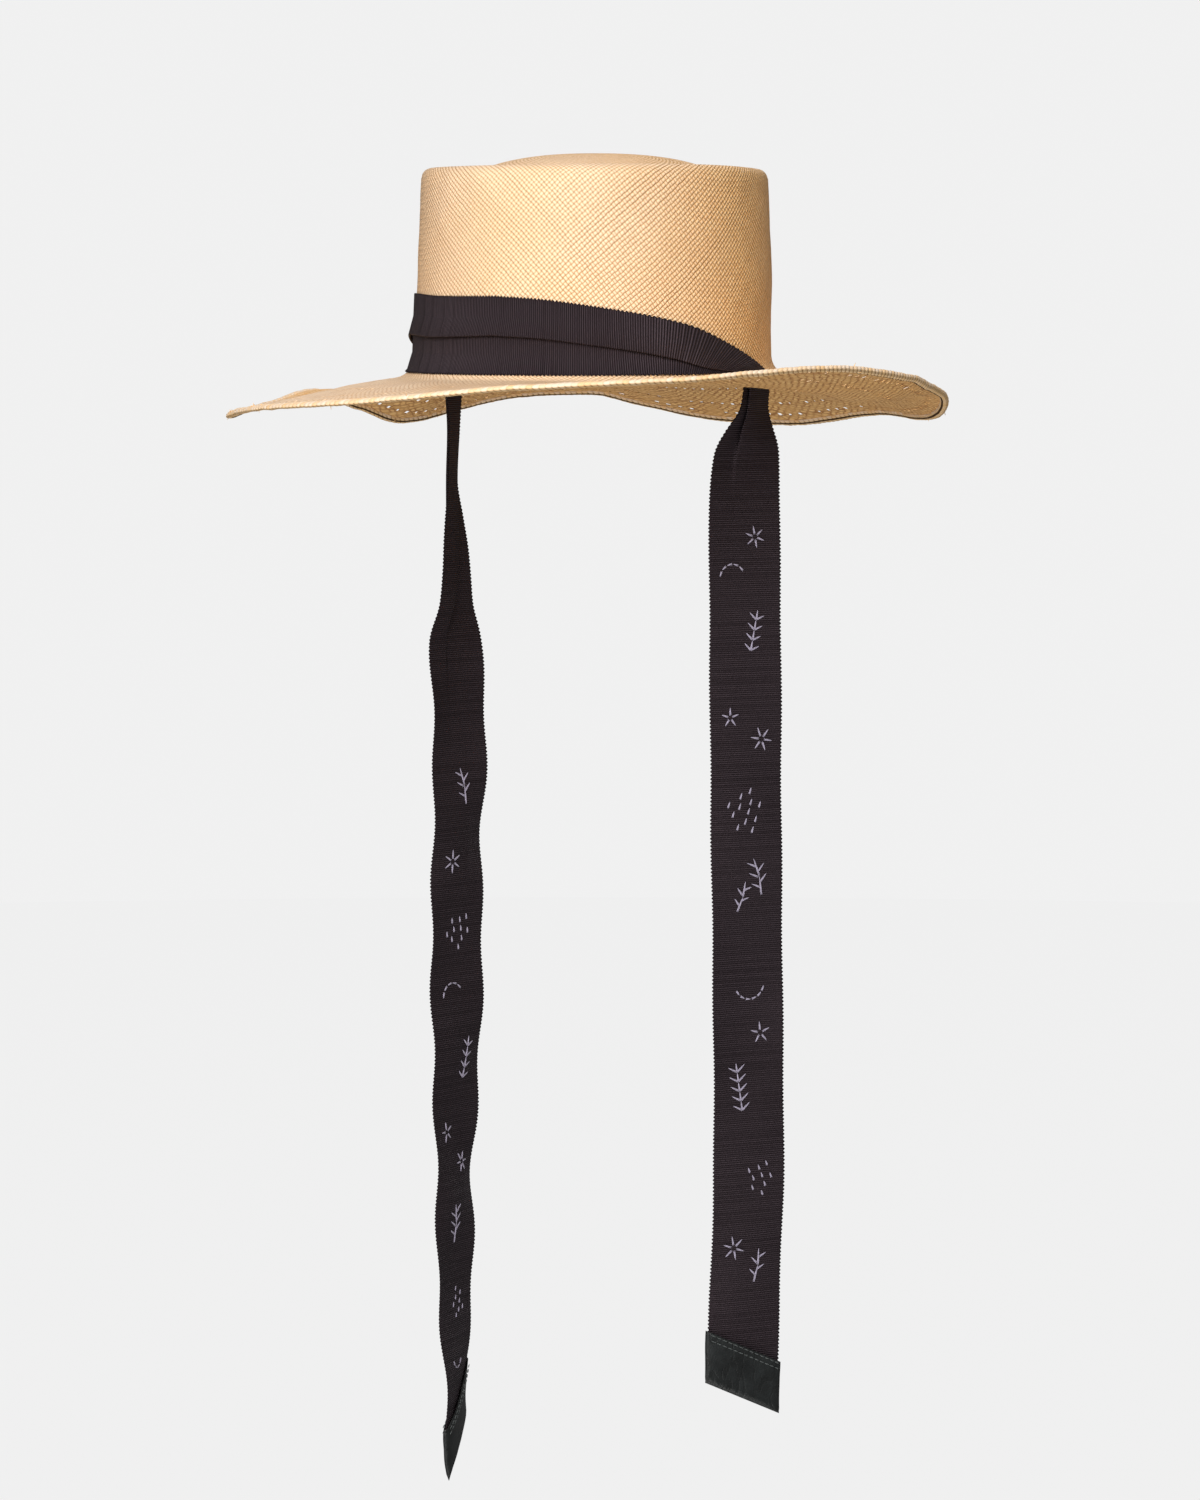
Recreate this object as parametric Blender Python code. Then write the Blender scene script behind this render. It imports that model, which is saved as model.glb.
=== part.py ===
"""Straw hat with a flat crown, a waved brim and a long ribbon whose ends hang as two ties.

Units are metres, +Z is up and the front of the hat faces -Y. The origin is the middle of the head
opening, level with the top of the brim where the brim meets the crown. Left is -X and right is +X,
as seen by someone who faces the front of the hat.
"""

import math
from collections import namedtuple

import bmesh
import bpy
from mathutils import Matrix, Vector

# Straw body
CROWN_LENGTH = 0.203
CROWN_BREADTH = 0.172
CROWN_HEIGHT = 0.1027
CROWN_TAPER = 0.0043
RIM_RADIUS = 0.005
GROOVE_WIDTH = 0.026
GROOVE_DEPTH = 0.0045
DOME_RISE = 0.0068
RIM_SWELL = 0.0015
BASE_FILLET = 0.009
STRAW = 0.0016
BRIM_WIDTH = 0.090
LIP_WIDTH = 0.0045
LIP_PROUD = 0.0006

# Ribbon
RIBBON_WIDTH = 0.040
RIBBON = 0.001
LAYER_GAP = 0.0003
CLEARANCE = 0.0004
BAND_LIFT = 0.0025
RIGHT_TIE_LENGTH = 0.506
LEFT_TIE_LENGTH = 0.548

# Slits beside the crown
RIGHT_SLIT_AZIMUTH = 88.5
LEFT_SLIT_AZIMUTH = 98.5
SLIT_PLAY = 0.003

# Leather tips
TIP_LENGTH = 0.026
LEATHER = 0.001

# Fineness of the meshes
TURN_STEPS = 70
FILLET_STEPS = 3
BRIM_STEPS = 6
LOWER_STEPS = 2
FOLD_STEPS = 2
TUCK_STEPS = 1
FLAP_STEPS = 3
TIE_STEP = 0.018
FEWEST_TIE_STEPS = 4
TIP_SHARES = (0.0, 0.25, 0.5, 0.75, 1.0)

# The tip's dome rises to the middle from its foot. Way is a share of the dome's radius.
DOME_WAYS = (0.0, 0.4, 0.75)
DOME_POWER = 2.4
# The groove between the dome and the rim. Way is a share of its width from the dome's foot, and
# depth a share of its depth below the rim.
GrooveRow = namedtuple("GrooveRow", "way depth")
GROOVE_ROWS = (GrooveRow(0.0, 0.2), GrooveRow(0.2, 0.8), GrooveRow(0.45, 1.0), GrooveRow(0.75, 0.6))
RIM_ANGLES = (90, 55, 25, 0)
SWELL_AZIMUTH = 65

# The brim's edge, going round from the front. Azimuths are in degrees, with 90 at the right.
# Lift is how far the edge stands above the crown's base, and belly how far the middle of the brim
# does so on its own account, both as shares of the brim's width. Reach is the width there, as a
# share of the same.
BrimWave = namedtuple("BrimWave", "azimuth lift belly reach")
BRIM_WAVES = (
    BrimWave(-150, -0.149, 0.00, 1.00),
    BrimWave(-135, -0.180, 0.01, 1.00),
    BrimWave(-117, -0.305, 0.03, 1.01),
    BrimWave(-107, -0.215, 0.02, 1.02),
    BrimWave(-96, -0.115, -0.03, 1.03),
    BrimWave(-84, -0.170, -0.02, 1.03),
    BrimWave(-60, -0.215, 0.00, 1.03),
    BrimWave(-30, -0.140, 0.00, 1.01),
    BrimWave(-6, -0.085, 0.00, 1.00),
    BrimWave(17, -0.005, -0.01, 1.00),
    BrimWave(41, 0.037, -0.03, 1.00),
    BrimWave(67, 0.089, -0.06, 0.99),
    BrimWave(90, 0.027, -0.10, 0.98),
    BrimWave(104, -0.050, -0.11, 0.96),
    BrimWave(119, -0.125, -0.02, 0.955),
    BrimWave(133, -0.225, 0.02, 0.97),
    BrimWave(145, -0.262, 0.03, 0.99),
    BrimWave(157, -0.245, 0.01, 1.00),
    BrimWave(175, -0.320, 0.02, 1.00),
    BrimWave(191, -0.290, 0.00, 1.00),
    BrimWave(201, -0.215, 0.00, 1.00),
)
BRIM_CURVE = 1.25

# The ribbon is tucked lengthwise: it runs up from its lower edge, turns back down for the length of
# the tuck, and turns up again as a flap that ends at its upper edge. Tuck and flap are shares of the
# ribbon's width, and turn is how far it turns back, in degrees, 180 where the tuck lies flat. Stand
# is how far the fold stands off what is behind it, as a share of the ribbon's width.
# Along the band a row's place is its share of the way from the front to the slit, and tilt leans
# the ribbon's upper edge towards the slit, in degrees.
BandRow = namedtuple("BandRow", "way tuck flap turn stand tilt")
RIGHT_BAND = (
    BandRow(0.00, 0.006, 0.46, 140, 0.01, 0),
    BandRow(0.20, 0.016, 0.46, 172, 0.01, 0),
    BandRow(0.39, 0.052, 0.46, 180, 0.01, 0),
    BandRow(0.57, 0.101, 0.45, 180, 0.01, 2),
    BandRow(0.70, 0.151, 0.44, 180, 0.01, 16),
    BandRow(0.79, 0.180, 0.45, 180, 0.01, 42),
    BandRow(0.87, 0.182, 0.46, 180, 0.00, 64),
    BandRow(0.94, 0.182, 0.46, 180, 0.00, 80),
    BandRow(1.00, 0.182, 0.46, 180, 0.00, 90),
)
LEFT_BAND = (
    BandRow(0.00, 0.006, 0.46, 140, 0.01, 0),
    BandRow(0.30, 0.012, 0.48, 140, 0.01, 0),
    BandRow(0.62, 0.006, 0.48, 140, 0.00, 0),
    BandRow(0.74, 0.060, 0.47, 170, 0.01, 6),
    BandRow(0.83, 0.150, 0.44, 180, 0.01, 32),
    BandRow(0.90, 0.220, 0.40, 180, 0.00, 58),
    BandRow(0.95, 0.255, 0.37, 180, 0.00, 78),
    BandRow(1.00, 0.262, 0.36, 180, 0.00, 90),
)
# The stretches of the way to the slit along which the flap stops being pressed to the crown, and
# the ribbon moves out from the crown to line up with the slit.
FLAP_FREES = (0.6, 0.9)
RIBBON_LEAVES = (0.8, 0.95)
# The fold's stand and the pressing of the flap fade over these shares of the ribbon's width.
STAND_REACH = 0.45
PRESS_REACH = 0.2
# At a sharp bend the ribbon's half thickness grows no further than by one over this.
LEAST_MITRE = 0.6
# The band's rings: evenly spaced over the front, and closer together where it turns to the slit.
BAND_WAYS = [0.07 * step for step in range(10)] + [0.69 + 0.042 * step for step in range(8)]

# Down a tie a row's place is its share of the tie's length below the slit. Out and back move the
# middle of the ribbon from below the slit, away from the head and to the rear, and cup bows it
# outwards in the middle, all as shares of the ribbon's width. Swing turns its face to the front.
TieRow = namedtuple("TieRow", "way tuck flap turn out back swing cup")
RIGHT_TIE = (
    TieRow(0.00, 0.182, 0.46, 180, 0.00, 0.00, 0, 0.00),
    TieRow(0.02, 0.125, 0.515, 180, -0.03, -0.01, -1, 0.00),
    TieRow(0.04, 0.060, 0.58, 150, -0.09, 0.00, 10, -0.01),
    TieRow(0.065, 0.010, 0.625, 60, -0.15, 0.03, 23, -0.02),
    TieRow(0.11, 0.005, 0.63, 0, -0.18, 0.04, 30, -0.02),
    TieRow(0.25, 0.005, 0.63, 0, -0.17, 0.05, 32, -0.01),
    TieRow(0.42, 0.005, 0.63, 0, -0.16, 0.06, 31, 0.02),
    TieRow(0.60, 0.005, 0.63, 0, -0.14, 0.08, 30, -0.02),
    TieRow(0.78, 0.005, 0.63, 0, -0.12, 0.07, 31, 0.01),
    TieRow(0.90, 0.005, 0.63, 0, -0.15, 0.02, 31, 0.03),
    TieRow(1.00, 0.005, 0.63, 0, -0.17, 0.00, 32, 0.02),
)
LEFT_TIE = (
    TieRow(0.00, 0.262, 0.36, 180, 0.00, 0.00, 0, 0.00),
    TieRow(0.04, 0.262, 0.36, 180, 0.00, 0.01, 12, 0.00),
    TieRow(0.088, 0.262, 0.36, 180, 0.02, 0.00, 15, 0.00),
    TieRow(0.125, 0.220, 0.40, 180, 0.00, 0.01, 6, 0.00),
    TieRow(0.163, 0.165, 0.457, 180, -0.02, 0.02, 2, 0.00),
    TieRow(0.20, 0.090, 0.53, 150, -0.04, 0.00, -2, 0.02),
    TieRow(0.24, 0.005, 0.61, 40, -0.06, -0.06, -3, 0.04),
    TieRow(0.34, 0.005, 0.61, 0, -0.12, -0.06, -4, 0.05),
    TieRow(0.43, 0.005, 0.61, 0, -0.07, -0.06, 0, -0.05),
    TieRow(0.54, 0.005, 0.61, 0, -0.08, -0.08, -3, 0.04),
    TieRow(0.62, 0.005, 0.61, 0, -0.07, -0.08, 1, -0.05),
    TieRow(0.70, 0.005, 0.61, 0, -0.05, -0.08, 7, 0.04),
    TieRow(0.76, 0.005, 0.61, 0, -0.03, -0.08, 12, -0.06),
    TieRow(0.83, 0.005, 0.61, 0, -0.05, -0.08, 10, 0.04),
    TieRow(0.91, 0.005, 0.61, 0, -0.05, -0.09, 20, -0.03),
    TieRow(1.00, 0.005, 0.61, 0, -0.05, -0.08, 26, -0.02),
)

# Side is 1 at the right and -1 at the left, and slit is how far round from the front the slit is.
# Slant is how much lower the end of the ribbon's upper edge hangs than the end of its lower edge,
# and ruffle the waves of its edges, both as shares of the ribbon's width. Waves counts the ruffles
# down the tie.
Tie = namedtuple("Tie", "side slit length band rows slant ruffle waves")
TIES = (
    Tie(-1, LEFT_SLIT_AZIMUTH, LEFT_TIE_LENGTH, LEFT_BAND, LEFT_TIE, -0.70, 0.045, 9.5),
    Tie(1, RIGHT_SLIT_AZIMUTH, RIGHT_TIE_LENGTH, RIGHT_BAND, RIGHT_TIE, 0.45, 0.012, 6.5),
)
TIE_NAMES = {-1: "left", 1: "right"}
RUFFLE_LAG = 1.2
RUFFLE_FULL = 0.25
# The crosswise lines of a tie start to slant this many tip lengths above its end, and have the
# slant of its cut this many above it.
SLANT_STARTS = 4.0
SLANT_FULL = 1.2
# Sections where a tie opens below the slit, as shares of the ribbon's width.
OPENING_DROPS = (0.0, 0.14, 0.3, 0.5, 0.73, 1.0)

BASE_RADIUS = (CROWN_LENGTH + CROWN_BREADTH) / 4
LAYER_PITCH = RIBBON + LAYER_GAP
# Two steps of a quarter turn each bring the ribbon back one layer pitch above itself.
FOLD_LENGTH = LAYER_PITCH * math.sqrt(2)
# The fillet is cut in flats, which stand this far proud of its round.
FILLET_FLAT = BASE_FILLET * (1 - math.cos(math.pi / 4 / FILLET_STEPS))
FOLDED_THICKNESS = 3 * RIBBON + 2 * LAYER_GAP
SLIT_WIDTH = FOLDED_THICKNESS + 2 * CLEARANCE
# The slit holds the ribbon for this far below the crown's base, as the brim is waved there.
HELD_DROP = STRAW + 0.05 * BRIM_WIDTH


def ease(value, start, end):
    """A smooth rise from 0 at start to 1 at end."""
    share = min(max((value - start) / (end - start), 0.0), 1.0)
    return share * share * (3 - 2 * share)


def read_rows(rows, place):
    """Each column of the rows at a place between them, on a smooth curve through the rows."""
    place = min(max(place, rows[0][0]), rows[-1][0])
    index = max(i for i, row in enumerate(rows[:-1]) if row[0] <= place)
    before = rows[max(index - 1, 0)]
    start = rows[index]
    end = rows[index + 1]
    after = rows[min(index + 2, len(rows) - 1)]
    span = end[0] - start[0]
    t = (place - start[0]) / span
    values = []
    for column in range(1, len(start)):
        leaving = (end[column] - before[column]) / (end[0] - before[0])
        arriving = (after[column] - start[column]) / (after[0] - start[0])
        values.append(
            (1 + 2 * t) * (1 - t) ** 2 * start[column]
            + t * (1 - t) ** 2 * span * leaving
            + t * t * (3 - 2 * t) * end[column]
            + t * t * (t - 1) * span * arriving
        )
    return type(start)(place, *values)


def read_brim(azimuth):
    """The brim's row at any azimuth: the rows close on themselves after a full turn."""
    first, last = BRIM_WAVES[0], BRIM_WAVES[-1]
    rows = (
        last._replace(azimuth=last.azimuth - 360),
        *BRIM_WAVES,
        first._replace(azimuth=first.azimuth + 360),
        BRIM_WAVES[1]._replace(azimuth=BRIM_WAVES[1].azimuth + 360),
    )
    start = first.azimuth
    return read_rows(rows, (azimuth - start) % 360 + start)


def oval_normal(azimuth):
    angle = math.radians(azimuth)
    return Vector((math.sin(angle) / CROWN_BREADTH, -math.cos(angle) / CROWN_LENGTH, 0)).normalized()


def on_oval(azimuth, radius):
    """Where a round shape's point goes on the head's oval: scaled inside the crown, offset outside."""
    angle = math.radians(azimuth)
    base = Vector((CROWN_BREADTH / 2 * math.sin(angle), -CROWN_LENGTH / 2 * math.cos(angle), 0))
    if radius <= BASE_RADIUS:
        return base * (radius / BASE_RADIUS)
    return base + oval_normal(azimuth) * (radius - BASE_RADIUS)


def degrees_along(azimuth, length):
    """The azimuth that a length takes up along the crown's base."""
    angle = math.radians(azimuth)
    pace = math.hypot(CROWN_BREADTH / 2 * math.cos(angle), CROWN_LENGTH / 2 * math.sin(angle))
    return math.degrees(length / pace)


def flare(height):
    """How far the fillet at the crown's base stands out from the crown's side."""
    if height >= BASE_FILLET:
        return 0.0
    rise = BASE_FILLET - max(height, 0.0)
    return BASE_FILLET - math.sqrt(BASE_FILLET**2 - rise**2) + FILLET_FLAT


def side_radius(height):
    """The radius of the crown's tapered side at a height above its base."""
    return BASE_RADIUS - CROWN_TAPER * height / CROWN_HEIGHT


def crown_outline(inset):
    """(radius, height) from the middle of the tip, down the side and out to the edge's braid."""
    rim_radius = BASE_RADIUS - CROWN_TAPER
    crest = rim_radius - RIM_RADIUS
    dome_radius = crest - GROOVE_WIDTH
    peak = CROWN_HEIGHT + DOME_RISE
    points = []
    for way in DOME_WAYS:
        points.append((dome_radius * way, peak - DOME_RISE * way**DOME_POWER - inset))
    for row in GROOVE_ROWS:
        radius = dome_radius + GROOVE_WIDTH * row.way
        points.append((radius, CROWN_HEIGHT - GROOVE_DEPTH * row.depth - inset))
    for angle in RIM_ANGLES:
        turn = math.radians(angle)
        reach = RIM_RADIUS - inset
        points.append(
            (crest + reach * math.cos(turn), CROWN_HEIGHT - RIM_RADIUS + reach * math.sin(turn))
        )
    points.append((side_radius(CROWN_HEIGHT / 2) - inset, CROWN_HEIGHT / 2))
    for step in range(FILLET_STEPS + 1):
        turn = math.pi + math.pi / 2 * step / FILLET_STEPS
        reach = BASE_FILLET + inset
        height = BASE_FILLET + reach * math.sin(turn)
        points.append((side_radius(height) + BASE_FILLET + reach * math.cos(turn), height))
    flat = BRIM_WIDTH - LIP_WIDTH - BASE_FILLET
    for step in range(BRIM_STEPS):
        out = BASE_FILLET + flat * (step + 1) / BRIM_STEPS
        points.append((BASE_RADIUS + out, -inset))
    return points


def lip_outline():
    """(radius, height) round the thicker braid that ends the brim, from its top to its underside."""
    edge = BASE_RADIUS + BRIM_WIDTH
    start = edge - LIP_WIDTH + LIP_PROUD
    return (
        (start, LIP_PROUD),
        (edge - LIP_PROUD, LIP_PROUD),
        (edge, -STRAW / 2),
        (edge - LIP_PROUD, -STRAW - LIP_PROUD),
        (start, -STRAW - LIP_PROUD),
    )


def shape_to_head(mesh):
    """Eases a turned hat to the head's oval, and gives the brim its waves and the rim its swell."""
    for vert in mesh.verts:
        radius = math.hypot(vert.co.x, vert.co.y)
        azimuth = math.degrees(math.atan2(vert.co.x, -vert.co.y))
        row = read_brim(azimuth)
        out = max(radius - BASE_RADIUS, 0.0)
        share = out / BRIM_WIDTH
        wave = row.lift * share**BRIM_CURVE + row.belly * math.sin(math.pi * min(share, 1.0))
        widened = radius + out * (row.reach - 1)
        place = on_oval(azimuth, widened)
        on_tip = ease(vert.co.z, 0.0, CROWN_HEIGHT) * min(radius / BASE_RADIUS, 1.0) ** 2
        swell = RIM_SWELL * on_tip * math.cos(math.radians(azimuth - SWELL_AZIMUTH))
        place.z = vert.co.z + wave * BRIM_WIDTH + swell
        vert.co = place


def new_object(name, mesh, collection, material=None):
    data = bpy.data.meshes.new(name)
    mesh.to_mesh(data)
    mesh.free()
    obj = bpy.data.objects.new(name, data)
    collection.objects.link(obj)
    if material is not None:
        data.materials.append(material)
    return obj


def build_hat_body(collection, cutters, material):
    outside = crown_outline(0.0)
    inside = crown_outline(STRAW)
    mesh = bmesh.new()
    path = [*outside, *lip_outline(), *reversed(inside)]
    verts = [mesh.verts.new((0.0, -radius, height)) for radius, height in path]
    edges = [mesh.edges.new(pair) for pair in zip(verts, verts[1:])]
    bmesh.ops.spin(
        mesh,
        geom=verts + edges,
        cent=(0, 0, 0),
        axis=(0, 0, 1),
        angle=math.tau,
        steps=TURN_STEPS,
        use_merge=True,
    )
    bmesh.ops.remove_doubles(mesh, verts=mesh.verts, dist=1e-6)
    bmesh.ops.recalc_face_normals(mesh, faces=mesh.faces)
    shape_to_head(mesh)
    for face in mesh.faces:
        face.smooth = True
    body = new_object("hat_body", mesh, collection, material)
    for tie in TIES:
        cut = body.modifiers.new(f"{TIE_NAMES[tie.side]} slit", "BOOLEAN")
        cut.operation = "DIFFERENCE"
        cut.solver = "EXACT"
        cut.object = slit_cutter(tie, cutters)
    return body


def slit_offset():
    """From the crown's outer base to the middle of the slit."""
    return flare(BAND_LIFT) + SLIT_WIDTH / 2


def slit_length():
    """As long as the wider of the two folded ribbons, with some play at each end."""
    return 2 * max(tucked_section(tie.band[-1])[1].x for tie in TIES) + 2 * SLIT_PLAY


def slit_cutter(tie, collection):
    azimuth = tie.side * tie.slit
    normal = oval_normal(azimuth)
    along = Vector((-normal.y, normal.x, 0))
    middle = on_oval(azimuth, BASE_RADIUS + slit_offset())
    bpy.ops.mesh.primitive_cube_add(size=1)
    cutter = bpy.context.object
    cutter.name = f"{TIE_NAMES[tie.side]}_slit_cutter"
    turned = Matrix((along, normal, Vector((0, 0, 1)))).transposed().to_4x4()
    size = Matrix.Diagonal((slit_length(), SLIT_WIDTH, 4 * HELD_DROP, 1))
    cutter.data.transform(Matrix.Translation(middle) @ turned @ size)
    if turned.determinant() < 0:
        cutter.data.flip_normals()
    for holder in list(cutter.users_collection):
        holder.objects.unlink(cutter)
    collection.objects.link(cutter)
    cutter.hide_render = True
    cutter.display_type = "WIRE"
    return cutter


def tucked_section(row, stand=0.0, pressed=0.0):
    """The ribbon's outline across its width, as (across, out) points, and its middle the same way.

    Across runs from the lower edge to the upper edge and out away from the head. Stand lifts the
    fold, and pressed, from 0 to 1, leans the flap back on what is behind the tuck.
    """
    turn = math.radians(row.turn)
    tuck = row.tuck * RIBBON_WIDTH
    flap = row.flap * RIBBON_WIDTH
    lower = RIBBON_WIDTH - tuck - flap - 2 * FOLD_LENGTH
    heading = 0.0
    point = Vector((0.0, 0.0))
    centre = [point.copy()]
    for length, turning, steps in (
        (lower, 0.0, LOWER_STEPS),
        (FOLD_LENGTH, turn, FOLD_STEPS),
        (tuck, 0.0, TUCK_STEPS),
        (FOLD_LENGTH, -turn, FOLD_STEPS),
        (flap, 0.0, FLAP_STEPS),
    ):
        for _ in range(steps):
            heading += turning / steps / 2
            point = point + Vector((math.cos(heading), math.sin(heading))) * (length / steps)
            heading += turning / steps / 2
            centre.append(point.copy())
    top = LOWER_STEPS + FOLD_STEPS
    bottom = top + TUCK_STEPS + FOLD_STEPS
    tuck_top = centre[top].x
    fold = centre[bottom].x
    for index, point in enumerate(centre):
        if index > top:
            away = abs(point.x - fold)
            point.y += stand * RIBBON_WIDTH * (1 - ease(away, 0.0, STAND_REACH * RIBBON_WIDTH))
        if index > bottom:
            past = point.x - tuck_top
            point.y *= 1 - pressed * ease(past, 0.0, PRESS_REACH * RIBBON_WIDTH)
    outer = []
    inner = []
    for index, here in enumerate(centre):
        before = centre[max(index - 1, 0)]
        after = centre[min(index + 1, len(centre) - 1)]
        ahead = (after - here).normalized() if index < len(centre) - 1 else (here - before).normalized()
        behind = (here - before).normalized() if index else ahead
        bisector = (ahead + behind).normalized()
        normal = Vector((-bisector.y, bisector.x))
        half = RIBBON / 2 / max(bisector.dot(ahead), LEAST_MITRE)
        outer.append(here + normal * half)
        inner.append(here - normal * half)
    across = [point.x for point in centre]
    out = [point.y for point in centre]
    middle = Vector(((min(across) + max(across)) / 2, (min(out) + max(out)) / 2))
    return outer + inner[::-1], middle


def band_ring(tie, row):
    """The ribbon's section on the crown, at the band row's share of the way to the slit."""
    pressed = 1 - ease(row.way, *FLAP_FREES)
    at_slit = ease(row.way, *RIBBON_LEAVES)
    outline, middle = tucked_section(row, row.stand, pressed)
    half_slit = degrees_along(tie.slit, middle.x)
    start = (tie.slit - half_slit) * row.way
    tilt = math.radians(row.tilt)
    ring = []
    for across, out in outline:
        azimuth = start + degrees_along(start, across * math.sin(tilt))
        rise = BAND_LIFT + across * math.cos(tilt)
        seat = max(flare(max(rise, BAND_LIFT)), at_slit * flare(BAND_LIFT))
        azimuth *= tie.side
        base = on_oval(azimuth, side_radius(max(rise, 0.0)))
        place = base + oval_normal(azimuth) * (seat + CLEARANCE + RIBBON / 2 + out)
        place.z = rise
        ring.append(place)
    return ring


def tie_row(tie, drop):
    """The tie's row at a drop below the crown's base: the slit holds the first stretch."""
    return read_rows(tie.rows, (drop - HELD_DROP) / (tie.length - HELD_DROP))


def tie_point(tie, drop, across, out):
    """A point of a tie: drop below the crown's base, across the ribbon and out from its middle."""
    row = tie_row(tie, drop)
    azimuth = tie.side * tie.slit
    normal = oval_normal(azimuth)
    start = on_oval(azimuth, BASE_RADIUS + slit_offset())
    start.x += tie.side * row.out * RIBBON_WIDTH
    start.y += row.back * RIBBON_WIDTH
    face = Matrix.Rotation(math.radians(-tie.side * row.swing), 3, "Z") @ normal
    along = Vector((-face.y, face.x, 0)) * tie.side
    share = across / RIBBON_WIDTH
    hanging = ease(drop / tie.length, 0.0, RUFFLE_FULL)
    phase = math.copysign(RUFFLE_LAG, share)
    wave = math.sin(math.tau * tie.waves * drop / tie.length + phase)
    bow = row.cup * (1 - 4 * share**2) + tie.ruffle * hanging * 4 * share**2 * wave
    place = start + along * across + face * (out + bow * RIBBON_WIDTH)
    place.z = -drop
    return place


def slanted_drop(tie, drop, across):
    """Slants the ribbon's crosswise lines more and more, down to the cut of its end."""
    to_end = (tie.length - drop) / TIP_LENGTH
    return drop + tie.slant * across * (1 - ease(to_end, SLANT_FULL, SLANT_STARTS))


def tie_ring(tie, drop):
    row = tie_row(tie, drop)
    outline, middle = tucked_section(row)
    ring = []
    for across, out in outline:
        across -= middle.x
        ring.append(tie_point(tie, slanted_drop(tie, drop, across), across, out - middle.y))
    return ring


def loft(rings):
    """One closed body through rings of equally many points, capped at both ends."""
    mesh = bmesh.new()
    made = [[mesh.verts.new(point) for point in ring] for ring in rings]
    count = len(made[0])
    for ring, following in zip(made, made[1:]):
        for index in range(count):
            nxt = (index + 1) % count
            mesh.faces.new((ring[index], ring[nxt], following[nxt], following[index]))
    # A flat ring is capped by quads between its two long sides.
    for ring, last in ((made[0], False), (made[-1], True)):
        for index in range(count // 2 - 1):
            corners = (ring[index], ring[index + 1], ring[count - 2 - index], ring[count - 1 - index])
            mesh.faces.new(corners if last else corners[::-1])
    bmesh.ops.recalc_face_normals(mesh, faces=mesh.faces)
    for face in mesh.faces:
        face.smooth = True
    return mesh


def tie_drops(tie):
    """Where a tie has its sections: close together where it opens, then evenly to its leather tip."""
    drops = [0.0] + [HELD_DROP + share * RIBBON_WIDTH for share in OPENING_DROPS]
    top, floor = tip_span(tie)
    left = top - drops[-1]
    steps = max(round(left / TIE_STEP), FEWEST_TIE_STEPS)
    drops += [drops[-1] + left * (step + 1) / steps for step in range(steps)]
    end = floor - CLEARANCE
    return drops + [top + (end - top) * share for share in TIP_SHARES[1:]]


def tip_span(tie):
    """The drops at which a tie's leather tip has its mouth and its inner floor."""
    return tie.length - TIP_LENGTH, tie.length - LEATHER


def ribbon_half(tie):
    """Rings from the front of the band, through one slit, to the end of its tie."""
    rings = [band_ring(tie, read_rows(tie.band, way)) for way in BAND_WAYS]
    return rings + [tie_ring(tie, drop) for drop in tie_drops(tie)]


def build_ribbon(collection, material):
    left, right = (ribbon_half(tie) for tie in TIES)
    return new_object("ribbon", loft([*reversed(left), *right[1:]]), collection, material)


def sleeve_ring(tie, drop, half_width, half_thickness):
    """A flat ring round the ribbon, which follows its bow and its slanted end."""
    shares = (-1.0, -0.5, 0.0, 0.5, 1.0)
    outline = [(half_width * share, half_thickness) for share in shares]
    outline += [(half_width * share, -half_thickness) for share in reversed(shares)]
    return [
        tie_point(tie, slanted_drop(tie, drop, across), across, out) for across, out in outline
    ]


def build_tip(tie, collection, material):
    """A leather sleeve with a closed foot, round the end of one tie."""
    inner = (RIBBON_WIDTH / 2 + CLEARANCE, RIBBON / 2 + CLEARANCE)
    outer = (inner[0] + LEATHER, inner[1] + LEATHER)
    top, floor = tip_span(tie)
    rings = [sleeve_ring(tie, floor + (top - floor) * share, *inner) for share in TIP_SHARES]
    rings += [sleeve_ring(tie, top + (tie.length - top) * share, *outer) for share in TIP_SHARES]
    return new_object(f"{TIE_NAMES[tie.side]}_tip", loft(rings), collection, material)


def new_material(name, color, roughness):
    material = bpy.data.materials.new(name)
    material.use_nodes = True
    shader = material.node_tree.nodes["Principled BSDF"]
    shader.inputs["Base Color"].default_value = (*color, 1.0)
    shader.inputs["Roughness"].default_value = roughness
    shader.inputs["Metallic"].default_value = 0.0
    return material


def new_collection(name):
    collection = bpy.data.collections.new(name)
    bpy.context.scene.collection.children.link(collection)
    return collection


def main():
    for obj in list(bpy.data.objects):
        bpy.data.objects.remove(obj)
    hat = new_collection("straw_hat")
    cutters = new_collection("cutters")
    straw = new_material("straw", (0.80, 0.62, 0.38), 0.55)
    ribbon = new_material("ribbon", (0.028, 0.022, 0.026), 0.7)
    leather = new_material("leather", (0.017, 0.018, 0.019), 0.45)
    build_hat_body(hat, cutters, straw)
    build_ribbon(hat, ribbon)
    for tie in TIES:
        build_tip(tie, hat, leather)


main()
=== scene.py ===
"""A wide-brimmed straw hat with ribbon ties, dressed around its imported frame.

Units are metres, +Z is up and the front of the hat faces -Y. The origin is the middle of the head
opening, level with the top of the brim where the brim meets the crown. Left is -X and right is +X,
as seen by someone who faces the front of the hat.
"""

import math
import random
from collections import namedtuple
from functools import lru_cache

import bmesh
import bpy
from bpy.props import FloatProperty, FloatVectorProperty, PointerProperty
from mathutils import Matrix, Vector, noise


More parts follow.
